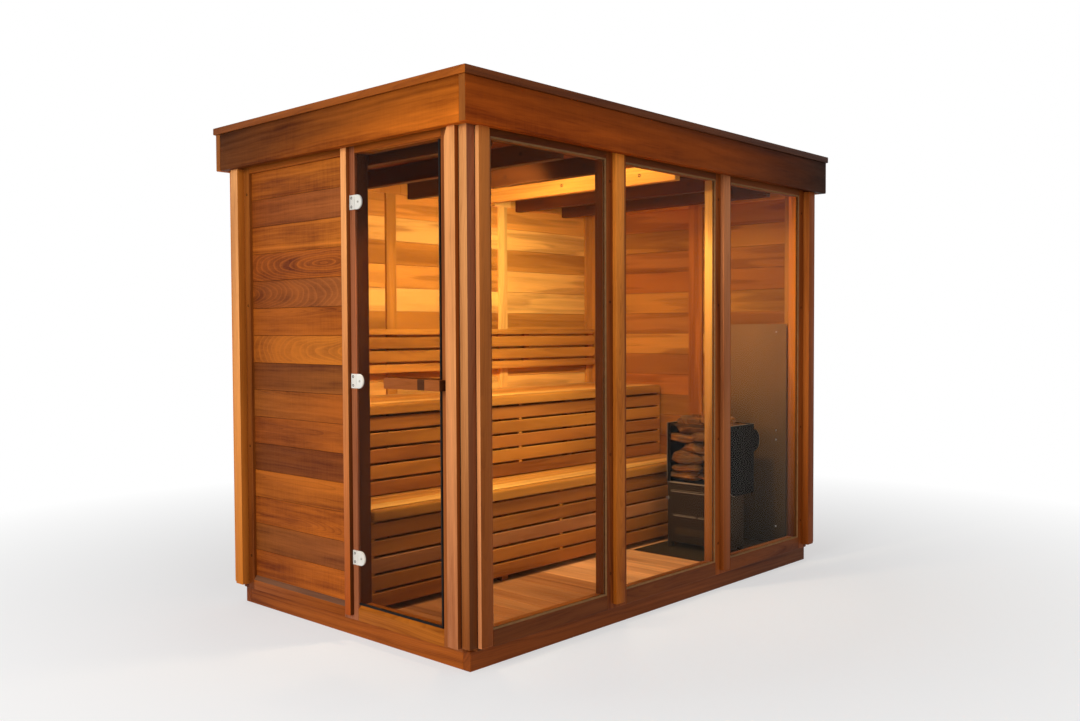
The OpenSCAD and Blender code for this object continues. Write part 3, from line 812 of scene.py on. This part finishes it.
def build_posts_and_battens():
    """The corner posts, the battens that stand proud of them, and those over the panel joints."""
    rng = random.Random("posts")
    posts, battens, gaps, covers = Piece(), Piece(), Piece(), Piece()
    # the height and width, in millimetres, that one batten's clipped top loses
    clip_h, clip_w = 34, 14
    for solid, lo, hi in islands("corner_posts"):
        # The front right post grows lighter towards the top as painted light, and every post's faces
        # towards +X take a darker stock that is painted shade.
        tint = "russet"
        if lo.y < 0:
            tint = ("russet", "peach") if lo.x > 0 else "apricot"
        stock = Stock(rng, lo, hi, Z, tint, 0.7)
        eased_copy(posts, solid, stock, Stock(rng, lo, hi, Z, ("cocoa", "plum"), 0.7))
    for solid, lo, hi in islands("corner_battens"):
        front, right, on_end = lo.y < 0, lo.x > 0, hi.x - lo.x > hi.y - lo.y
        tint, side = batten_tints(front, right, on_end)
        if front and right and on_end:
            clip(solid, (lo.x, lo.y, hi.z - clip_h * MM), (-clip_h, 0, clip_w))
        stock = Stock(rng, lo, hi, Z, tint, 0.6)
        eased_copy(battens, solid, stock, Stock(rng, lo, hi, Z, side, 0.6))
        shadow_gap(gaps, lo, hi, on_end)
    for solid, lo, hi in islands("cover_battens"):
        # Cover battens grow lighter towards the top as painted light; the door batten's darker side
        # towards +X is painted shade.
        tint, side = ("flame", "saffron") if lo.y < 0 else ("brown", "mauve"), None
        if lo.y < 0 and hi.x - lo.x > hi.y - lo.y:
            tint, side = ("ember", "peach"), Stock(rng, lo, hi, Z, ("cocoa", "russet"), 0.6)
        eased_copy(covers, solid, Stock(rng, lo, hi, Z, tint, 0.7), side)
    posts.make("corner_post_timbers", "trim", "dark_cedar", "corner_posts")
    battens.make("corner_batten_strips", "trim", "exterior_cedar", "corner_battens")
    gaps.make("corner_shadow_gaps", "seal", "dark_cedar")
    covers.make("cover_batten_strips", "trim", "exterior_cedar", "cover_battens")


def clip(solid, point, normal):
    """Cuts away the part of a solid that lies beyond a plane."""
    geometry = [*solid.verts, *solid.edges, *solid.faces]
    bmesh.ops.bisect_plane(solid, geom=geometry, plane_co=point, plane_no=normal, clear_outer=True)
    bmesh.ops.holes_fill(solid, edges=[e for e in solid.edges if e.is_boundary])


def shadow_gap(piece, lo, hi, on_end):
    """A dark strip of painted shade in the corner between a corner batten and the post beside it."""
    a, b = Vector(lo), Vector(hi)
    across, out = (X, Y) if on_end else (Y, X)
    post = math.copysign(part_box("corner_posts")[1][out], lo[out])
    edge = hi[across] if hi[across] > 0 else lo[across]
    for axis, place, width in ((across, edge, 1.8 * MM), (out, post, 1.2 * MM)):
        a[axis], b[axis] = sorted((place, place + math.copysign(width, place)))
    block(piece, a, b, ease=0.3 * MM)


def build_wall_screws():
    """A dark screw at each fixing height on every stile that shows beside a batten."""
    piece, strip = Piece(), 19 * MM
    for wall, (axis, side, run) in WALLS.items():
        stiles = solids(f"{wall}_wall_stiles")
        last = len(stiles) - 1
        for number, (lo, hi) in enumerate(stiles[:1] if wall == "front" else stiles):
            face = hi[axis] if side > 0 else lo[axis]
            at_end = number in (0, last)
            inset = strip if at_end or is_joint(lo, hi, run) else 0.7 * strip
            spots = [lo[run] + inset, hi[run] - inset]
            if at_end:
                spots = spots[1:] if number == 0 else spots[:1]
            for spot, height in itertools.product(spots, SCREW_HEIGHTS):
                centre = Vector((0, 0, height))
                centre[axis], centre[run] = face, spot
                turned(piece, centre, axis, side, SCREW)
    piece.make("stile_screws", "screw", "hinge_metal")


def build_windows():
    """A rounded bead round both sides of each pane."""
    outer, inner = Piece(), Piece()
    width, depth = mm(6, 4.5)
    curve = ((0, 0), (0, 1), (0.35, 1), (0.7, 0.75), (0.92, 0.4), (1, 0))
    for lo, hi in solids("window_panes"):
        for piece, face, out in ((outer, hi.x, depth), (inner, lo.x, -depth)):
            surround(piece, lo, hi, [(u * width, face + v * out) for u, v in curve])
    outer.make("window_beads_outside", "gasket", "hinge_metal")
    inner.make("window_beads_inside", "gasket", "hinge_metal")
    paint("window", "window_panes")


# ---- base, roof and ceiling ----

def bars(name, node, along, tints, look, slot):
    """Every solid of a CAD node as a timber with eased edges."""
    piece = Piece()
    rng = random.Random(name)
    for number, (lo, hi) in enumerate(solids(node)):
        timber(piece, rng, lo, hi, along, tints[number % len(tints)], ease=2 * MM)
    piece.make(name, look, slot, node)


def build_base():
    bars("base_side_timbers", "base_side_boards", Y, [("brown", "cocoa")], "dark", "exterior_cedar")
    bars("base_end_timbers", "base_end_boards", X, ["amber"], "dark", "exterior_cedar")
    bars("floor_bearer_timbers", "floor_bearers", X, ["toffee"], "dark", "interior_cedar")
    piece = Piece()
    rng = random.Random("floor")
    boards(piece, rng, *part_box("floor_boards"), X, Y, 25,
           lambda i: ("biscuit" if i < 11 else "oak", rng.choice((-0.5, 0.6))), 2 * MM, 1.2 * MM)
    piece.make("floor_planks", "bench", "interior_cedar", "floor_boards")


def build_roof():
    build_fascia()
    build_cap()
    rng = random.Random("roof")
    top, panel, screws = Piece(), Piece(), Piece()
    look = some(rng, "umber", "brown", "cocoa")
    boards(top, rng, *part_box("roof_boards"), Y, X, 11, look, 3 * MM, 2 * MM)
    top.make("roof_planks", "dark", "dark_cedar", "roof_boards")
    lo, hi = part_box("roof_panel")
    lining, core = split(lo, hi, Z, lo.z + 15 * MM)
    boards(panel, rng, *lining, Y, X, 14, some(rng, "toffee", "brown", "umber"), 2 * MM, 1.5 * MM)
    block(panel, *core, Stock(rng, *core, Y, "toffee"))
    panel.make("ceiling_lining", "inside", "interior_cedar", "roof_panel")
    # Painted light and shade: the fourth joist, which the lamp lights, is pale honey, the third
    # beside it near-black soot, and the rest dark cocoa.
    tints = ["cocoa", "cocoa", "soot", "honey", "cocoa", "cocoa"]
    bars("ceiling_joist_timbers", "ceiling_joists", X, tints, "bench", "interior_cedar")
    # a dark disc half as wide again as a screw, painted shade of the hole round it
    hole_shade = [(1.5 * radius, height) for radius, height in SCREW]
    for lo, hi in solids("ceiling_joists"):
        for x in JOIST_SCREWS:
            turned(screws, (x, lo.y, (lo.z + hi.z) / 2), Y, -1, hole_shade)
    screws.make("joist_screws", "screw", "hinge_metal")


def build_fascia():
    """The boards round the roof, which show their end grain at the corners."""
    # Painted light: the side board towards +X darkens towards the back, the front end board darkens
    # towards -X, and lift darkens each board's top and lightens its foot.
    for part, along, lift, tints in (("side", Y, -0.6, ["amber", ("ember", "pitch")]),
                                     ("end", X, -0.75, [("bark", "orange"), "amber"])):
        piece = Piece()
        node = f"fascia_{part}_boards"
        rng = random.Random(f"{part} fascia")
        for tint, (lo, hi) in zip(tints, solids(node)):
            stock = Stock(rng, lo, hi, along, tint, 0.8)
            stock.lift = lift
            block(piece, lo, hi, stock, 2 * MM)
        piece.make(f"fascia_{part}_timbers", "fascia", "exterior_cedar", node)
    ends = Piece()
    skin, inset = mm(0.4, 2)
    for lo, hi in solids("fascia_side_boards"):
        for y in (lo.y, hi.y):
            box = zip((lo.x + inset, hi.x), (y - skin, y + skin), (lo.z + inset, hi.z))
            timber(ends, random.Random(f"end {y}"), *box, Z, "toffee", 0.6, 0.3 * MM)
    ends.make("fascia_end_faces", "end", "exterior_cedar")


def build_cap():
    """The cap boards, mitred at the corners."""
    rng = random.Random("cap")
    low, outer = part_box("cap_side_boards")
    inner = Vector((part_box("cap_end_boards")[1].x, solids("cap_end_boards")[-1][0].y))
    sides, ends = Piece(), Piece()
    levels, rim = (low.z, outer.z), 3 * MM
    for turn in (-1, 1):
        x0, x1, y0, y1 = inner.x * turn, outer.x * turn, inner.y, outer.y
        outline = [(x0, -y0), (x1, -y1), (x1, y1), (x0, y0)][::turn]
        box = zip(sorted((x0, x1)), (-y1, y1), levels)
        slab(sides, outline, levels, Z, Stock(rng, *box, Y, ("umber", "bark")), rim, 2)
        x0, x1, y0, y1 = inner.x, outer.x, inner.y * turn, outer.y * turn
        outline = [(-x0, y0), (x0, y0), (x1, y1), (-x1, y1)][::turn]
        box = zip((-x1, x1), sorted((y0, y1)), levels)
        slab(ends, outline, levels, Z, Stock(rng, *box, X, ("umber", "amber")), rim, 2)
    sides.make("cap_side_timbers", "dark", "dark_cedar", "cap_side_boards")
    ends.make("cap_end_timbers", "trim", "dark_cedar", "cap_end_boards")


# ---- benches ----

def build_bench(name, count):
    """A bench seat of slats behind a rounded nosing, and its skirt with spacer blocks."""
    rng = random.Random(name)
    seat, skirt, spacers = Piece(), Piece(), Piece()
    lo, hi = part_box(f"{name}_bench_seat")
    seat_t, gap, nosing_d, corner, ease = mm(27, 7, 40, 22, 3)
    edge, under = hi.x - nosing_d, hi.z - seat_t
    look = some(rng, "honey", "honey", "gold", strength=0.6)
    box = zip((lo.x, edge - gap), (lo.y, hi.y), (under, hi.z))
    boards(seat, rng, *box, Y, X, count, look, gap, ease)
    outline = rounded(edge, lo.y, hi.x, hi.y, (2 * MM, corner, corner, 2 * MM), 6)
    nosing(seat, outline, (lo.z, hi.z), Stock(rng, (edge, lo.y, lo.z), hi, Y, "caramel", 0.5))
    inset, half_cleat, back_gap, lap, dip, depth = mm(60, 19, 4, 1, 0.5, 12)
    for i in range(4):
        y = lo.y + inset + i * (hi.y - lo.y - 2 * inset) / 3
        box = zip((lo.x + back_gap, edge + lap), (y - half_cleat, y + half_cleat),
                  (under - dip, hi.z - depth))
        timber(seat, rng, *box, X, "rust")
    seat.make(f"{name}_bench_slats", "bench", "interior_cedar", f"{name}_bench_seat")
    tints = ("copper", "caramel") if name == "upper" else ("copper", "copper", "biscuit")
    slats = solids(f"{name}_bench_skirt")
    for number, (a, b) in enumerate(slats):
        timber(skirt, rng, a, b, Y, tints[number % len(tints)], rng.choice((-0.6, 0.6)), ease)
    skirt.make(f"{name}_skirt_slats", "bench", "interior_cedar", f"{name}_bench_skirt")
    levels = [(p[1].z, q[0].z) for p, q in zip(slats, slats[1:])] + [(slats[-1][1].z, lo.z)]
    near, far = slats[0]
    half, bite, front, rear = mm(10, 0.5, 2, 1.5)
    for (below, above), y in itertools.product(levels, (lo.y + half, -half, hi.y - half)):
        box = zip((near.x + front, far.x - rear), (y - half, y + half), (below - bite, above + bite))
        timber(spacers, rng, *box, X, "honey")
    spacers.make(f"{name}_skirt_spacers", "bench", "interior_cedar")


def nosing(piece, outline, span, stock):
    """A slab whose top rim is rounder than its foot."""
    top, foot, widest = mm(14, 2, 12)
    steps = 4
    levels = [(foot, span[0]), (0.0, span[0] + foot)]
    for k in range(steps + 1):
        t = math.radians(90 * k / steps)
        levels.append((top * (1 - math.cos(t)), span[1] - top * (1 - math.sin(t))))
    points = [(*p, level) for d, level in levels for p in inset_outline(outline, min(d, widest))]
    piece.add(points, capped(len(levels), len(outline)), stock)


def build_bench_frames():
    rng = random.Random("supports")
    piece = Piece()
    for solid, lo, hi in islands("bench_supports"):
        eased_copy(piece, solid, Stock(rng, lo, hi, X, "toffee"))
    piece.make("bench_frame_timbers", "bench", "interior_cedar", "bench_supports")


def build_backrest():
    rng = random.Random("backrest")
    piece = Piece()
    slats = sorted(solids("backrest_slats"), key=lambda s: s[0].z)
    ease, foot, round_ = mm(3, 14, 18)
    for number, (lo, hi) in enumerate(slats):
        far = min(round_, 0.46 * (hi.z - lo.z))
        radii = (ease if number else foot, far, far, ease)
        stock = Stock(rng, lo, hi, Y, "caramel" if number else "honey", 0.8)
        slab(piece, rounded(lo.y, lo.z, hi.y, hi.z, radii), (lo.x, hi.x), X, stock, 2.5 * MM)
    piece.make("backrest_boards", "bench", "interior_cedar", "backrest_slats")
    bars("backrest_spacers", "backrest_blocks", Z, ["tan"], "bench", "interior_cedar")


# ---- door ----

def build_door():
    """What the door's glass, seals and hinges need, and a dark board on the jamb beside the glass,
    which is painted shade.
    """
    paint("door", "door_glass")
    paint("hinge", "hinge_leaf_plates", "hinge_jamb_plates")
    seal, lining, leaf, jamb = Piece(), Piece(), Piece(), Piece()
    lo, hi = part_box("door_glass")
    edge, lap, proud, ease = mm(2.5, 5, 0.6, 0.5)
    faces = (lo.y - proud, hi.y + proud)
    bar(seal, (hi.x - lap, hi.x + edge), faces, (lo.z, hi.z), ease)
    bar(seal, (lo.x, hi.x + edge), faces, (lo.z - edge, lo.z + lap), ease)
    seal.make("door_edge_seals", "seal", "hinge_metal", body="door")
    head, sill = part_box("door_header"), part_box("door_threshold")
    board, play = mm(2, 4)
    # a thin dark board on the jamb's face inside the glass: painted shade
    box = zip((sill[0].x, sill[0].x + board), (hi.y + play, head[1].y), (sill[1].z, head[0].z))
    timber(lining, random.Random("stop"), *box, Z, "cocoa", ease=ease)
    lining.make("door_jamb_painted_shade", "dark", "dark_cedar")
    back = hi.y
    sheet, plate_h, bolt_x, screw_x, screw_z = mm(3.3, 40, 22, 12, 17)
    for lo, hi in solids("hinge_leaf_plates"):
        if hi.z - lo.z > plate_h:
            x, z = hi.x - bolt_x, (lo.z + hi.z) / 2
            turned(leaf, (x, lo.y + sheet, z), Y, -1, BOLT)
            turned(leaf, (x, back, z), Y, 1, WASHER)
    for lo, hi in solids("hinge_jamb_plates"):
        for dz in (-screw_z, screw_z):
            place = (lo.x + screw_x, lo.y + sheet, (lo.z + hi.z) / 2 + dz)
            turned(jamb, place, Y, -1, SCREW)
    leaf.make("hinge_leaf_bolts", "steel", "hinge_metal", body="door")
    jamb.make("hinge_jamb_screws", "screw", "hinge_metal")
    build_handle("outer", -1)
    build_handle("inner", 1)


def build_handle(which, side):
    """A timber bar with rounded ends on two blocks, which pass through it on the outer handle."""
    rng = random.Random(f"{which} handle")
    piece = Piece()
    lo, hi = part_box(f"{which}_handle")
    bar_t, block_w, block_end, trim, ease = mm(29, 39, 85, 4, 1.5)
    rail, stand = split(lo, hi, Y, lo.y + bar_t if side < 0 else hi.y - bar_t)[::-side]
    stock = Stock(rng, *rail, X, "russet", 0.8)
    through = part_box("outer_handle")[1].x - block_end - block_w
    cuts = [(lo.x, through), (through + block_w, hi.x - trim), (hi.x - trim, hi.x)]
    for number, (x0, x1) in enumerate(cuts if side < 0 else [(lo.x, hi.x)]):
        outline = rounded(x0, lo.z, x1, hi.z, (ease,) * 4, 3)
        # the bar's last few millimetres are dark bark: its end grain, and painted shade on the end
        # facing +X
        own = Stock(rng, *rail, X, "bark") if number == 2 else stock
        slab(piece, outline, (rail[0].y, rail[1].y), Y, own, ease)
    if side < 0:
        box = zip((through, through + block_w), (lo.y, hi.y), (lo.z, hi.z))
        timber(piece, rng, *box, Y, "bark")
    for x in (lo.x + block_end, through):
        box = zip((x, x + block_w), (stand[0].y, stand[1].y), (lo.z + trim, hi.z - trim))
        timber(piece, rng, *box, Y, "umber")
    piece.make(f"{which}_handle_bar", "trim", "dark_cedar", f"{which}_handle", "door")


# ---- heater ----

def build_cage():
    """Side sheets, back, shelf, posts and rear bulge of the stone cage."""
    cage = Piece()
    lo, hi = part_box("heater_cage")
    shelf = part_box("heater_pedestal")[1].z
    sheet, post, play = mm(4, 24, 0.4)
    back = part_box("heater_stones")[1].y + play
    rear, inner = back + sheet, (lo.x + sheet, hi.x - sheet)
    bend, bulge, corner, drop = mm(60, 58, 3, 30)
    for x in (lo.x, hi.x - sheet):
        outline = rounded(lo.y, lo.z, rear, hi.z, (bend, corner, corner, corner), 10)
        slab(cage, outline, (x, x + sheet), X, rim=0.8 * MM, steps=2)
    bar(cage, inner, (back, rear), (shelf, hi.z))
    bar(cage, inner, (lo.y, back), (shelf, shelf + sheet))
    for x in (lo.x + sheet, hi.x - post):
        bar(cage, (x, x + post - sheet), (lo.y, lo.y + sheet), (shelf, hi.z), 0.8 * MM)
    centre = hi.z - drop - bulge
    arc = [math.radians(-90 + 180 * k / 14) for k in range(15)]
    outline = [(rear + bulge * math.cos(t), centre + bulge * math.sin(t)) for t in arc]
    slab(cage, outline, (lo.x, hi.x), X)
    cage.make("heater_cage_sheets", "heater", "heater_black", "heater_cage")
    bends = ((lo.y + bend, lo.z + bend, bend, 180), (rear, centre, bulge, -30))
    cage_rims(lo, hi, sheet, shelf, rear, bends)
    pierced_rim(lo, hi, inner)


def cage_rims(lo, hi, sheet, shelf, rear, bends):
    """Bright strips along the cage's sheet edges, straight and round its bends: painted highlights.
    """
    rims = Piece()
    thin, proud, ease, foot, lip = mm(1.6, 0.4, 0.4, 62, 1)
    for x in (lo.x, hi.x - sheet):
        span = (max(x - proud, lo.x), min(x + sheet + proud, hi.x))
        bar(rims, span, (lo.y, rear), (hi.z - thin, hi.z), ease)
        bar(rims, span, (lo.y, lo.y + thin), (lo.z + foot, hi.z), ease)
    bar(rims, (lo.x + sheet, hi.x - sheet), (lo.y, lo.y + thin), (shelf - lip, shelf + sheet + lip),
        ease)
    for y, z, r, start in bends:
        for k in range(8):
            t0, t1 = (math.radians(start + 90 * (k + i) / 8) for i in (0, 1))
            quad = ((r - thin, t0), (r, t0), (r, t1), (r - thin, t1))
            outline = [(y + d * math.cos(t), z + d * math.sin(t)) for d, t in quad]
            slab(rims, outline, (hi.x - lip, hi.x), X, rim=0.2 * MM, steps=1)
    rims.make("heater_bright_rims", "edge", "heater_black")


def pierced_rim(lo, hi, inner):
    """The ladder of short bars along the cage's front top edge."""
    ladder = Piece()
    pitch, rail, rung, lap, ease = mm(11, 3, 4, 2, 0.5)
    foot, head, front, back = mm(15, 1, 0.4, 2.4)
    low, high = hi.z - foot, hi.z - head
    face = (lo.y + front, lo.y + back)
    for z in (low, high - rail):
        bar(ladder, inner, face, (z, z + rail), ease)
    for i in range(int((inner[1] - inner[0]) / pitch)):
        x = inner[0] + (i + 0.5) * pitch
        bar(ladder, (x, x + rung), face, (low + lap, high - lap), ease)
    ladder.make("heater_pierced_rim", "panel", "heater_black")


def stone_points(rng, ball):
    """A ball cut by random flat breaks and roughened, about one across."""
    cuts = []
    for _ in range(9):
        normal = Vector([rng.gauss(0, 1) for _ in range(3)]).normalized()
        cuts.append((normal, rng.uniform(0.5, 0.8)))
    seed = Vector([rng.uniform(0, 99) for _ in range(3)])
    points = []
    for p in ball:
        q = Vector(p)
        for normal, depth in cuts:
            q -= normal * max(q.dot(normal) - depth, 0.0)
        q *= 1 + 0.10 * noise.noise(q * 1.7 + seed) + 0.03 * noise.noise(q * 6 + seed)
        points.append(q * 0.5)
    return points


def build_stones():
    """Stones stacked in the cage in rough layers, and a loose heap above them."""
    rng = random.Random("stones")
    ball = bmesh.new()
    bmesh.ops.create_icosphere(ball, subdivisions=3, radius=1.0)
    shell = [v.co.copy() for v in ball.verts]
    faces = [[v.index for v in f.verts] for f in ball.faces]
    ball.free()
    piece = Piece()
    lo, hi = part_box("heater_stones")
    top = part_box("heater_cage")[1].z

    def stone(centre, size, high):
        angles = (rng.uniform(-0.2, 0.2), rng.uniform(-0.2, 0.2), rng.uniform(0, 6.28))
        tilt, tip, turn = (Matrix.Rotation(angle, 3, axis) for angle, axis in zip(angles, "XYZ"))
        spin = tilt @ tip @ turn
        points = []
        for q in stone_points(rng, shell):
            place = centre + (spin @ q) * Vector(size)
            points.append([min(max(p, low), far) for p, low, far in zip(place, lo, high)])
        piece.add(points, faces)

    columns, ranks, rows = 2, 3, 6
    step = Vector(((hi.x - lo.x) / columns, (hi.y - lo.y) / ranks, (top - lo.z) / rows))
    for row, column, rank in itertools.product(range(rows), range(columns), range(ranks)):
        jitter = Vector([rng.uniform(-0.16, 0.16) * s for s in step])
        shift = 0.15 if row % 2 else -0.15
        cell = Vector((column + 0.5 + shift, rank + 0.5, row + 0.5))
        size = [s * rng.uniform(1.1, 1.4) for s in step]
        stone(lo + cell * step + jitter, size, (hi.x, hi.y, top + 10 * MM))
    edge_x, edge_y, sunk = mm(60, 55, 4)
    for _ in range(26):
        x, y = rng.uniform(lo.x + edge_x, hi.x - edge_x), rng.uniform(lo.y + edge_y, hi.y - edge_y)
        off = abs(x - (lo.x + hi.x) / 2) / (hi.x - lo.x) * 2
        z = top + (hi.z - top) * 0.45 * (1 - off * 0.7) - sunk
        size = [rng.uniform(0.09, 0.14), rng.uniform(0.07, 0.1), rng.uniform(0.05, 0.075)]
        stone(Vector((x, y, z)), size, hi)
    piece.make("heater_stone_pile", "rock", "stone", "heater_stones")


def build_pedestal():
    """The heater's foot: a folded panel with two slots, a bare plate, a knob and feet."""
    lo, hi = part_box("heater_pedestal")
    size = hi - lo
    body, marks, bare, knob = Piece(), Piece(), Piece(), Piece()
    foot, leg, setback, bite, round_, corner = mm(30, 24, 4, 2, 6, 2)
    outline = rounded(lo.x, lo.y, hi.x, hi.y, (round_, round_, corner, corner), 4)
    slab(body, outline, (lo.z + foot, hi.z), Z, rim=1.5 * MM)
    for x, y in itertools.product((lo.x, hi.x - leg), (lo.y + setback, hi.y - leg)):
        bar(body, (x, x + leg), (y, y + leg), (lo.z, lo.z + foot + bite))
    body.make("heater_foot_panel", "panel", "heater_black", "heater_pedestal")
    # each slot's two ends and its height as shares of the panel, and how tall it is
    slots = ((0.06, 0.94, 0.86, 9 * MM), (0.1, 0.48, 0.49, 7 * MM), (0.52, 0.9, 0.49, 7 * MM))
    # the bright strips on each slot's lips are painted highlights
    upper, lower, proud, sunk, ease = mm(3, 1.6, 0.2, 1, 0.4)
    face = (lo.y - proud, lo.y + sunk)
    for start, end, share, tall in slots:
        span, z = (lo.x + start * size.x, lo.x + end * size.x), lo.z + share * size.z
        for level, wide in ((z, upper), (z + tall, lower)):
            bar(marks, span, face, (level, level + wide), ease)
    marks.make("heater_slot_edges", "edge", "heater_black")
    left, right, low, high, proud = mm(50, 110, 70, 108, 0.5)
    bar(bare, (lo.x + left, hi.x - right), (lo.y - proud, face[1]), (lo.z + low, lo.z + high), proud)
    bare.make("heater_bare_plate", "plate", "heater_black")
    turned(knob, (lo.x + setback, lo.y + bite, lo.z + 0.756 * size.z), Y, -1, KNOB, 20)
    knob.make("heater_knob", "steel", "heater_black")


def build_shield():
    """The heat shield and its screws, and the plate on the floor."""
    paint("shield", "heat_shield")
    plate, screws = Piece(), Piece()
    lo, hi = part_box("floor_plate")
    corner = 6 * MM
    outline = rounded(lo.x, lo.y, hi.x, hi.y, (corner,) * 4, 4)
    slab(plate, outline, (lo.z, hi.z), Z, rim=0.8 * MM)
    plate.make("floor_plate_sheet", "plate", "shield_metal", "floor_plate")
    lo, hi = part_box("heat_shield")
    left, right = mm(33, 61)
    for x, z in itertools.product((lo.x + left, hi.x - right), SHIELD_SCREWS):
        turned(screws, (x, lo.y, z), Y, -1, BOLT)
    screws.make("shield_screws", "steel", "shield_metal")


# ---- studio ----

def build_camera():
    """The camera at the photograph's angle."""
    yaw, pitch, roll = (math.radians(a) for a in (41.972, -1.898, -0.211))
    ahead = math.cos(pitch)
    forward = Vector((-math.sin(yaw) * ahead, math.cos(yaw) * ahead, math.sin(pitch)))
    level = Vector((math.cos(yaw), math.sin(yaw), 0))
    upright = level.cross(forward)
    right = level * math.cos(roll) + upright * math.sin(roll)
    up = upright * math.cos(roll) - level * math.sin(roll)
    data = bpy.data.cameras.new("camera")
    data.sensor_fit = "HORIZONTAL"
    data.sensor_width, data.lens = 36.0, 34.175
    data.shift_x, data.shift_y = -0.0198, 0.0045
    camera = linked("camera", data)
    columns = Matrix((right, up, -forward)).transposed()
    camera.matrix_world = Matrix.Translation((3.3826, -3.6544, 1.2071)) @ columns.to_4x4()
    bpy.context.scene.camera = camera


def lamp(name, place, target, width, watts, colour=(1, 1, 1), spread=180):
    data = bpy.data.lights.new(name, "AREA")
    data.shape, data.size, data.energy, data.color = "SQUARE", width, watts, colour
    data.spread = math.radians(spread)
    made = linked(name, data)
    made.location = place
    made.rotation_euler = (Vector(target) - Vector(place)).to_track_quat("-Z", "Y").to_euler()
    made.visible_camera = False
    return made


def build_light():
    """Plain soft studio light, and the cabin's own warm lamp high up beside the glass."""
    world = bpy.data.worlds.new("studio")
    bpy.context.scene.world = world
    t = Tree("studio", world)
    sky = t.node("Background", {"Color": (1, 1, 1, 1), "Strength": white_rays(t, 0.42)})
    t.node("OutputWorld", {0: sky.outputs[0]})
    key = lamp("key", (1.2, -6.4, 2.8), (0, -1.0, 1.0), 2.6, 172)
    lamp("fill", (5.6, -1.0, 2.4), (0, 0, 1.0), 3.5, 18)
    warm = srgb(255, 238, 210)
    cabin = lamp("cabin_lamp", (0.56, -0.10, 1.84), (0.0, 0.35, 0.7), 0.08, 7.4, warm, 140)
    wash = lamp("wall_wash", (0.42, -0.60, 1.76), (-0.7, -0.05, 1.60), 0.12, 8.8, warm, 100)
    seat = lamp("bench_lamp", (0.30, -0.86, 1.78), (-0.35, -0.85, 0.6), 0.12, 8, warm, 110)
    strip = lamp("joist_lamp", (0.36, -0.21, 1.925), (0.36, 0.08, 1.90), 0.66, 3.2, warm)
    strip.data.shape, strip.data.size_y = "RECTANGLE", 0.03
    for inside in (key, cabin, wash, seat, strip):
        inside.visible_glossy = False


def white_rays(t, plain):
    """A strength: plain for light, and 1 for what the camera, gloss and glass see."""
    path = t.node("LightPath").outputs
    total = path["Is Camera Ray"]
    for name in ("Is Glossy Ray", "Is Transmission Ray"):
        total = t.math("ADD", total, path[name], clamp=True)
    return t.between(total, 0.0, 1.0, plain, 1.0)


def build_floor():
    """A pale floor that fades into the white studio away from the cabin."""
    mesh = bpy.data.meshes.new("studio_floor")
    reach = 60.0
    square = [(x * reach, y * reach, 0) for x, y in ((-1, -1), (1, -1), (1, 1), (-1, 1))]
    mesh.from_pydata(square, [], [range(4)])
    t = Tree("pale_floor")
    place = t.place()
    away = t.node("VectorMath", {0: place}, operation="LENGTH").outputs["Value"]
    far = t.between(away, 1.6, 4.2)
    white = white_rays(t, 0.0)
    matt = t.node("BsdfDiffuse", {"Color": (0.9, 0.9, 0.9, 1)}).outputs[0]
    glow = t.node("Emission", {"Color": (1, 1, 1, 1), "Strength": 1.0}).outputs[0]
    share = t.math("MULTIPLY", t.between(far, 0, 1, 0.5, 1.0), white)
    mesh.materials.append(t.output(t.node("MixShader", {0: share, 1: matt, 2: glow}).outputs[0]))
    linked("studio_floor", mesh)


build_camera()
build_walls()
build_doorway()
build_posts_and_battens()
build_wall_screws()
build_windows()
build_base()
build_roof()
build_bench("upper", 5)
build_bench("lower", 8)
build_bench_frames()
build_backrest()
build_door()
build_cage()
build_stones()
build_pedestal()
build_shield()
build_light()
build_floor()
bpy.context.scene.view_settings.view_transform = "Standard"
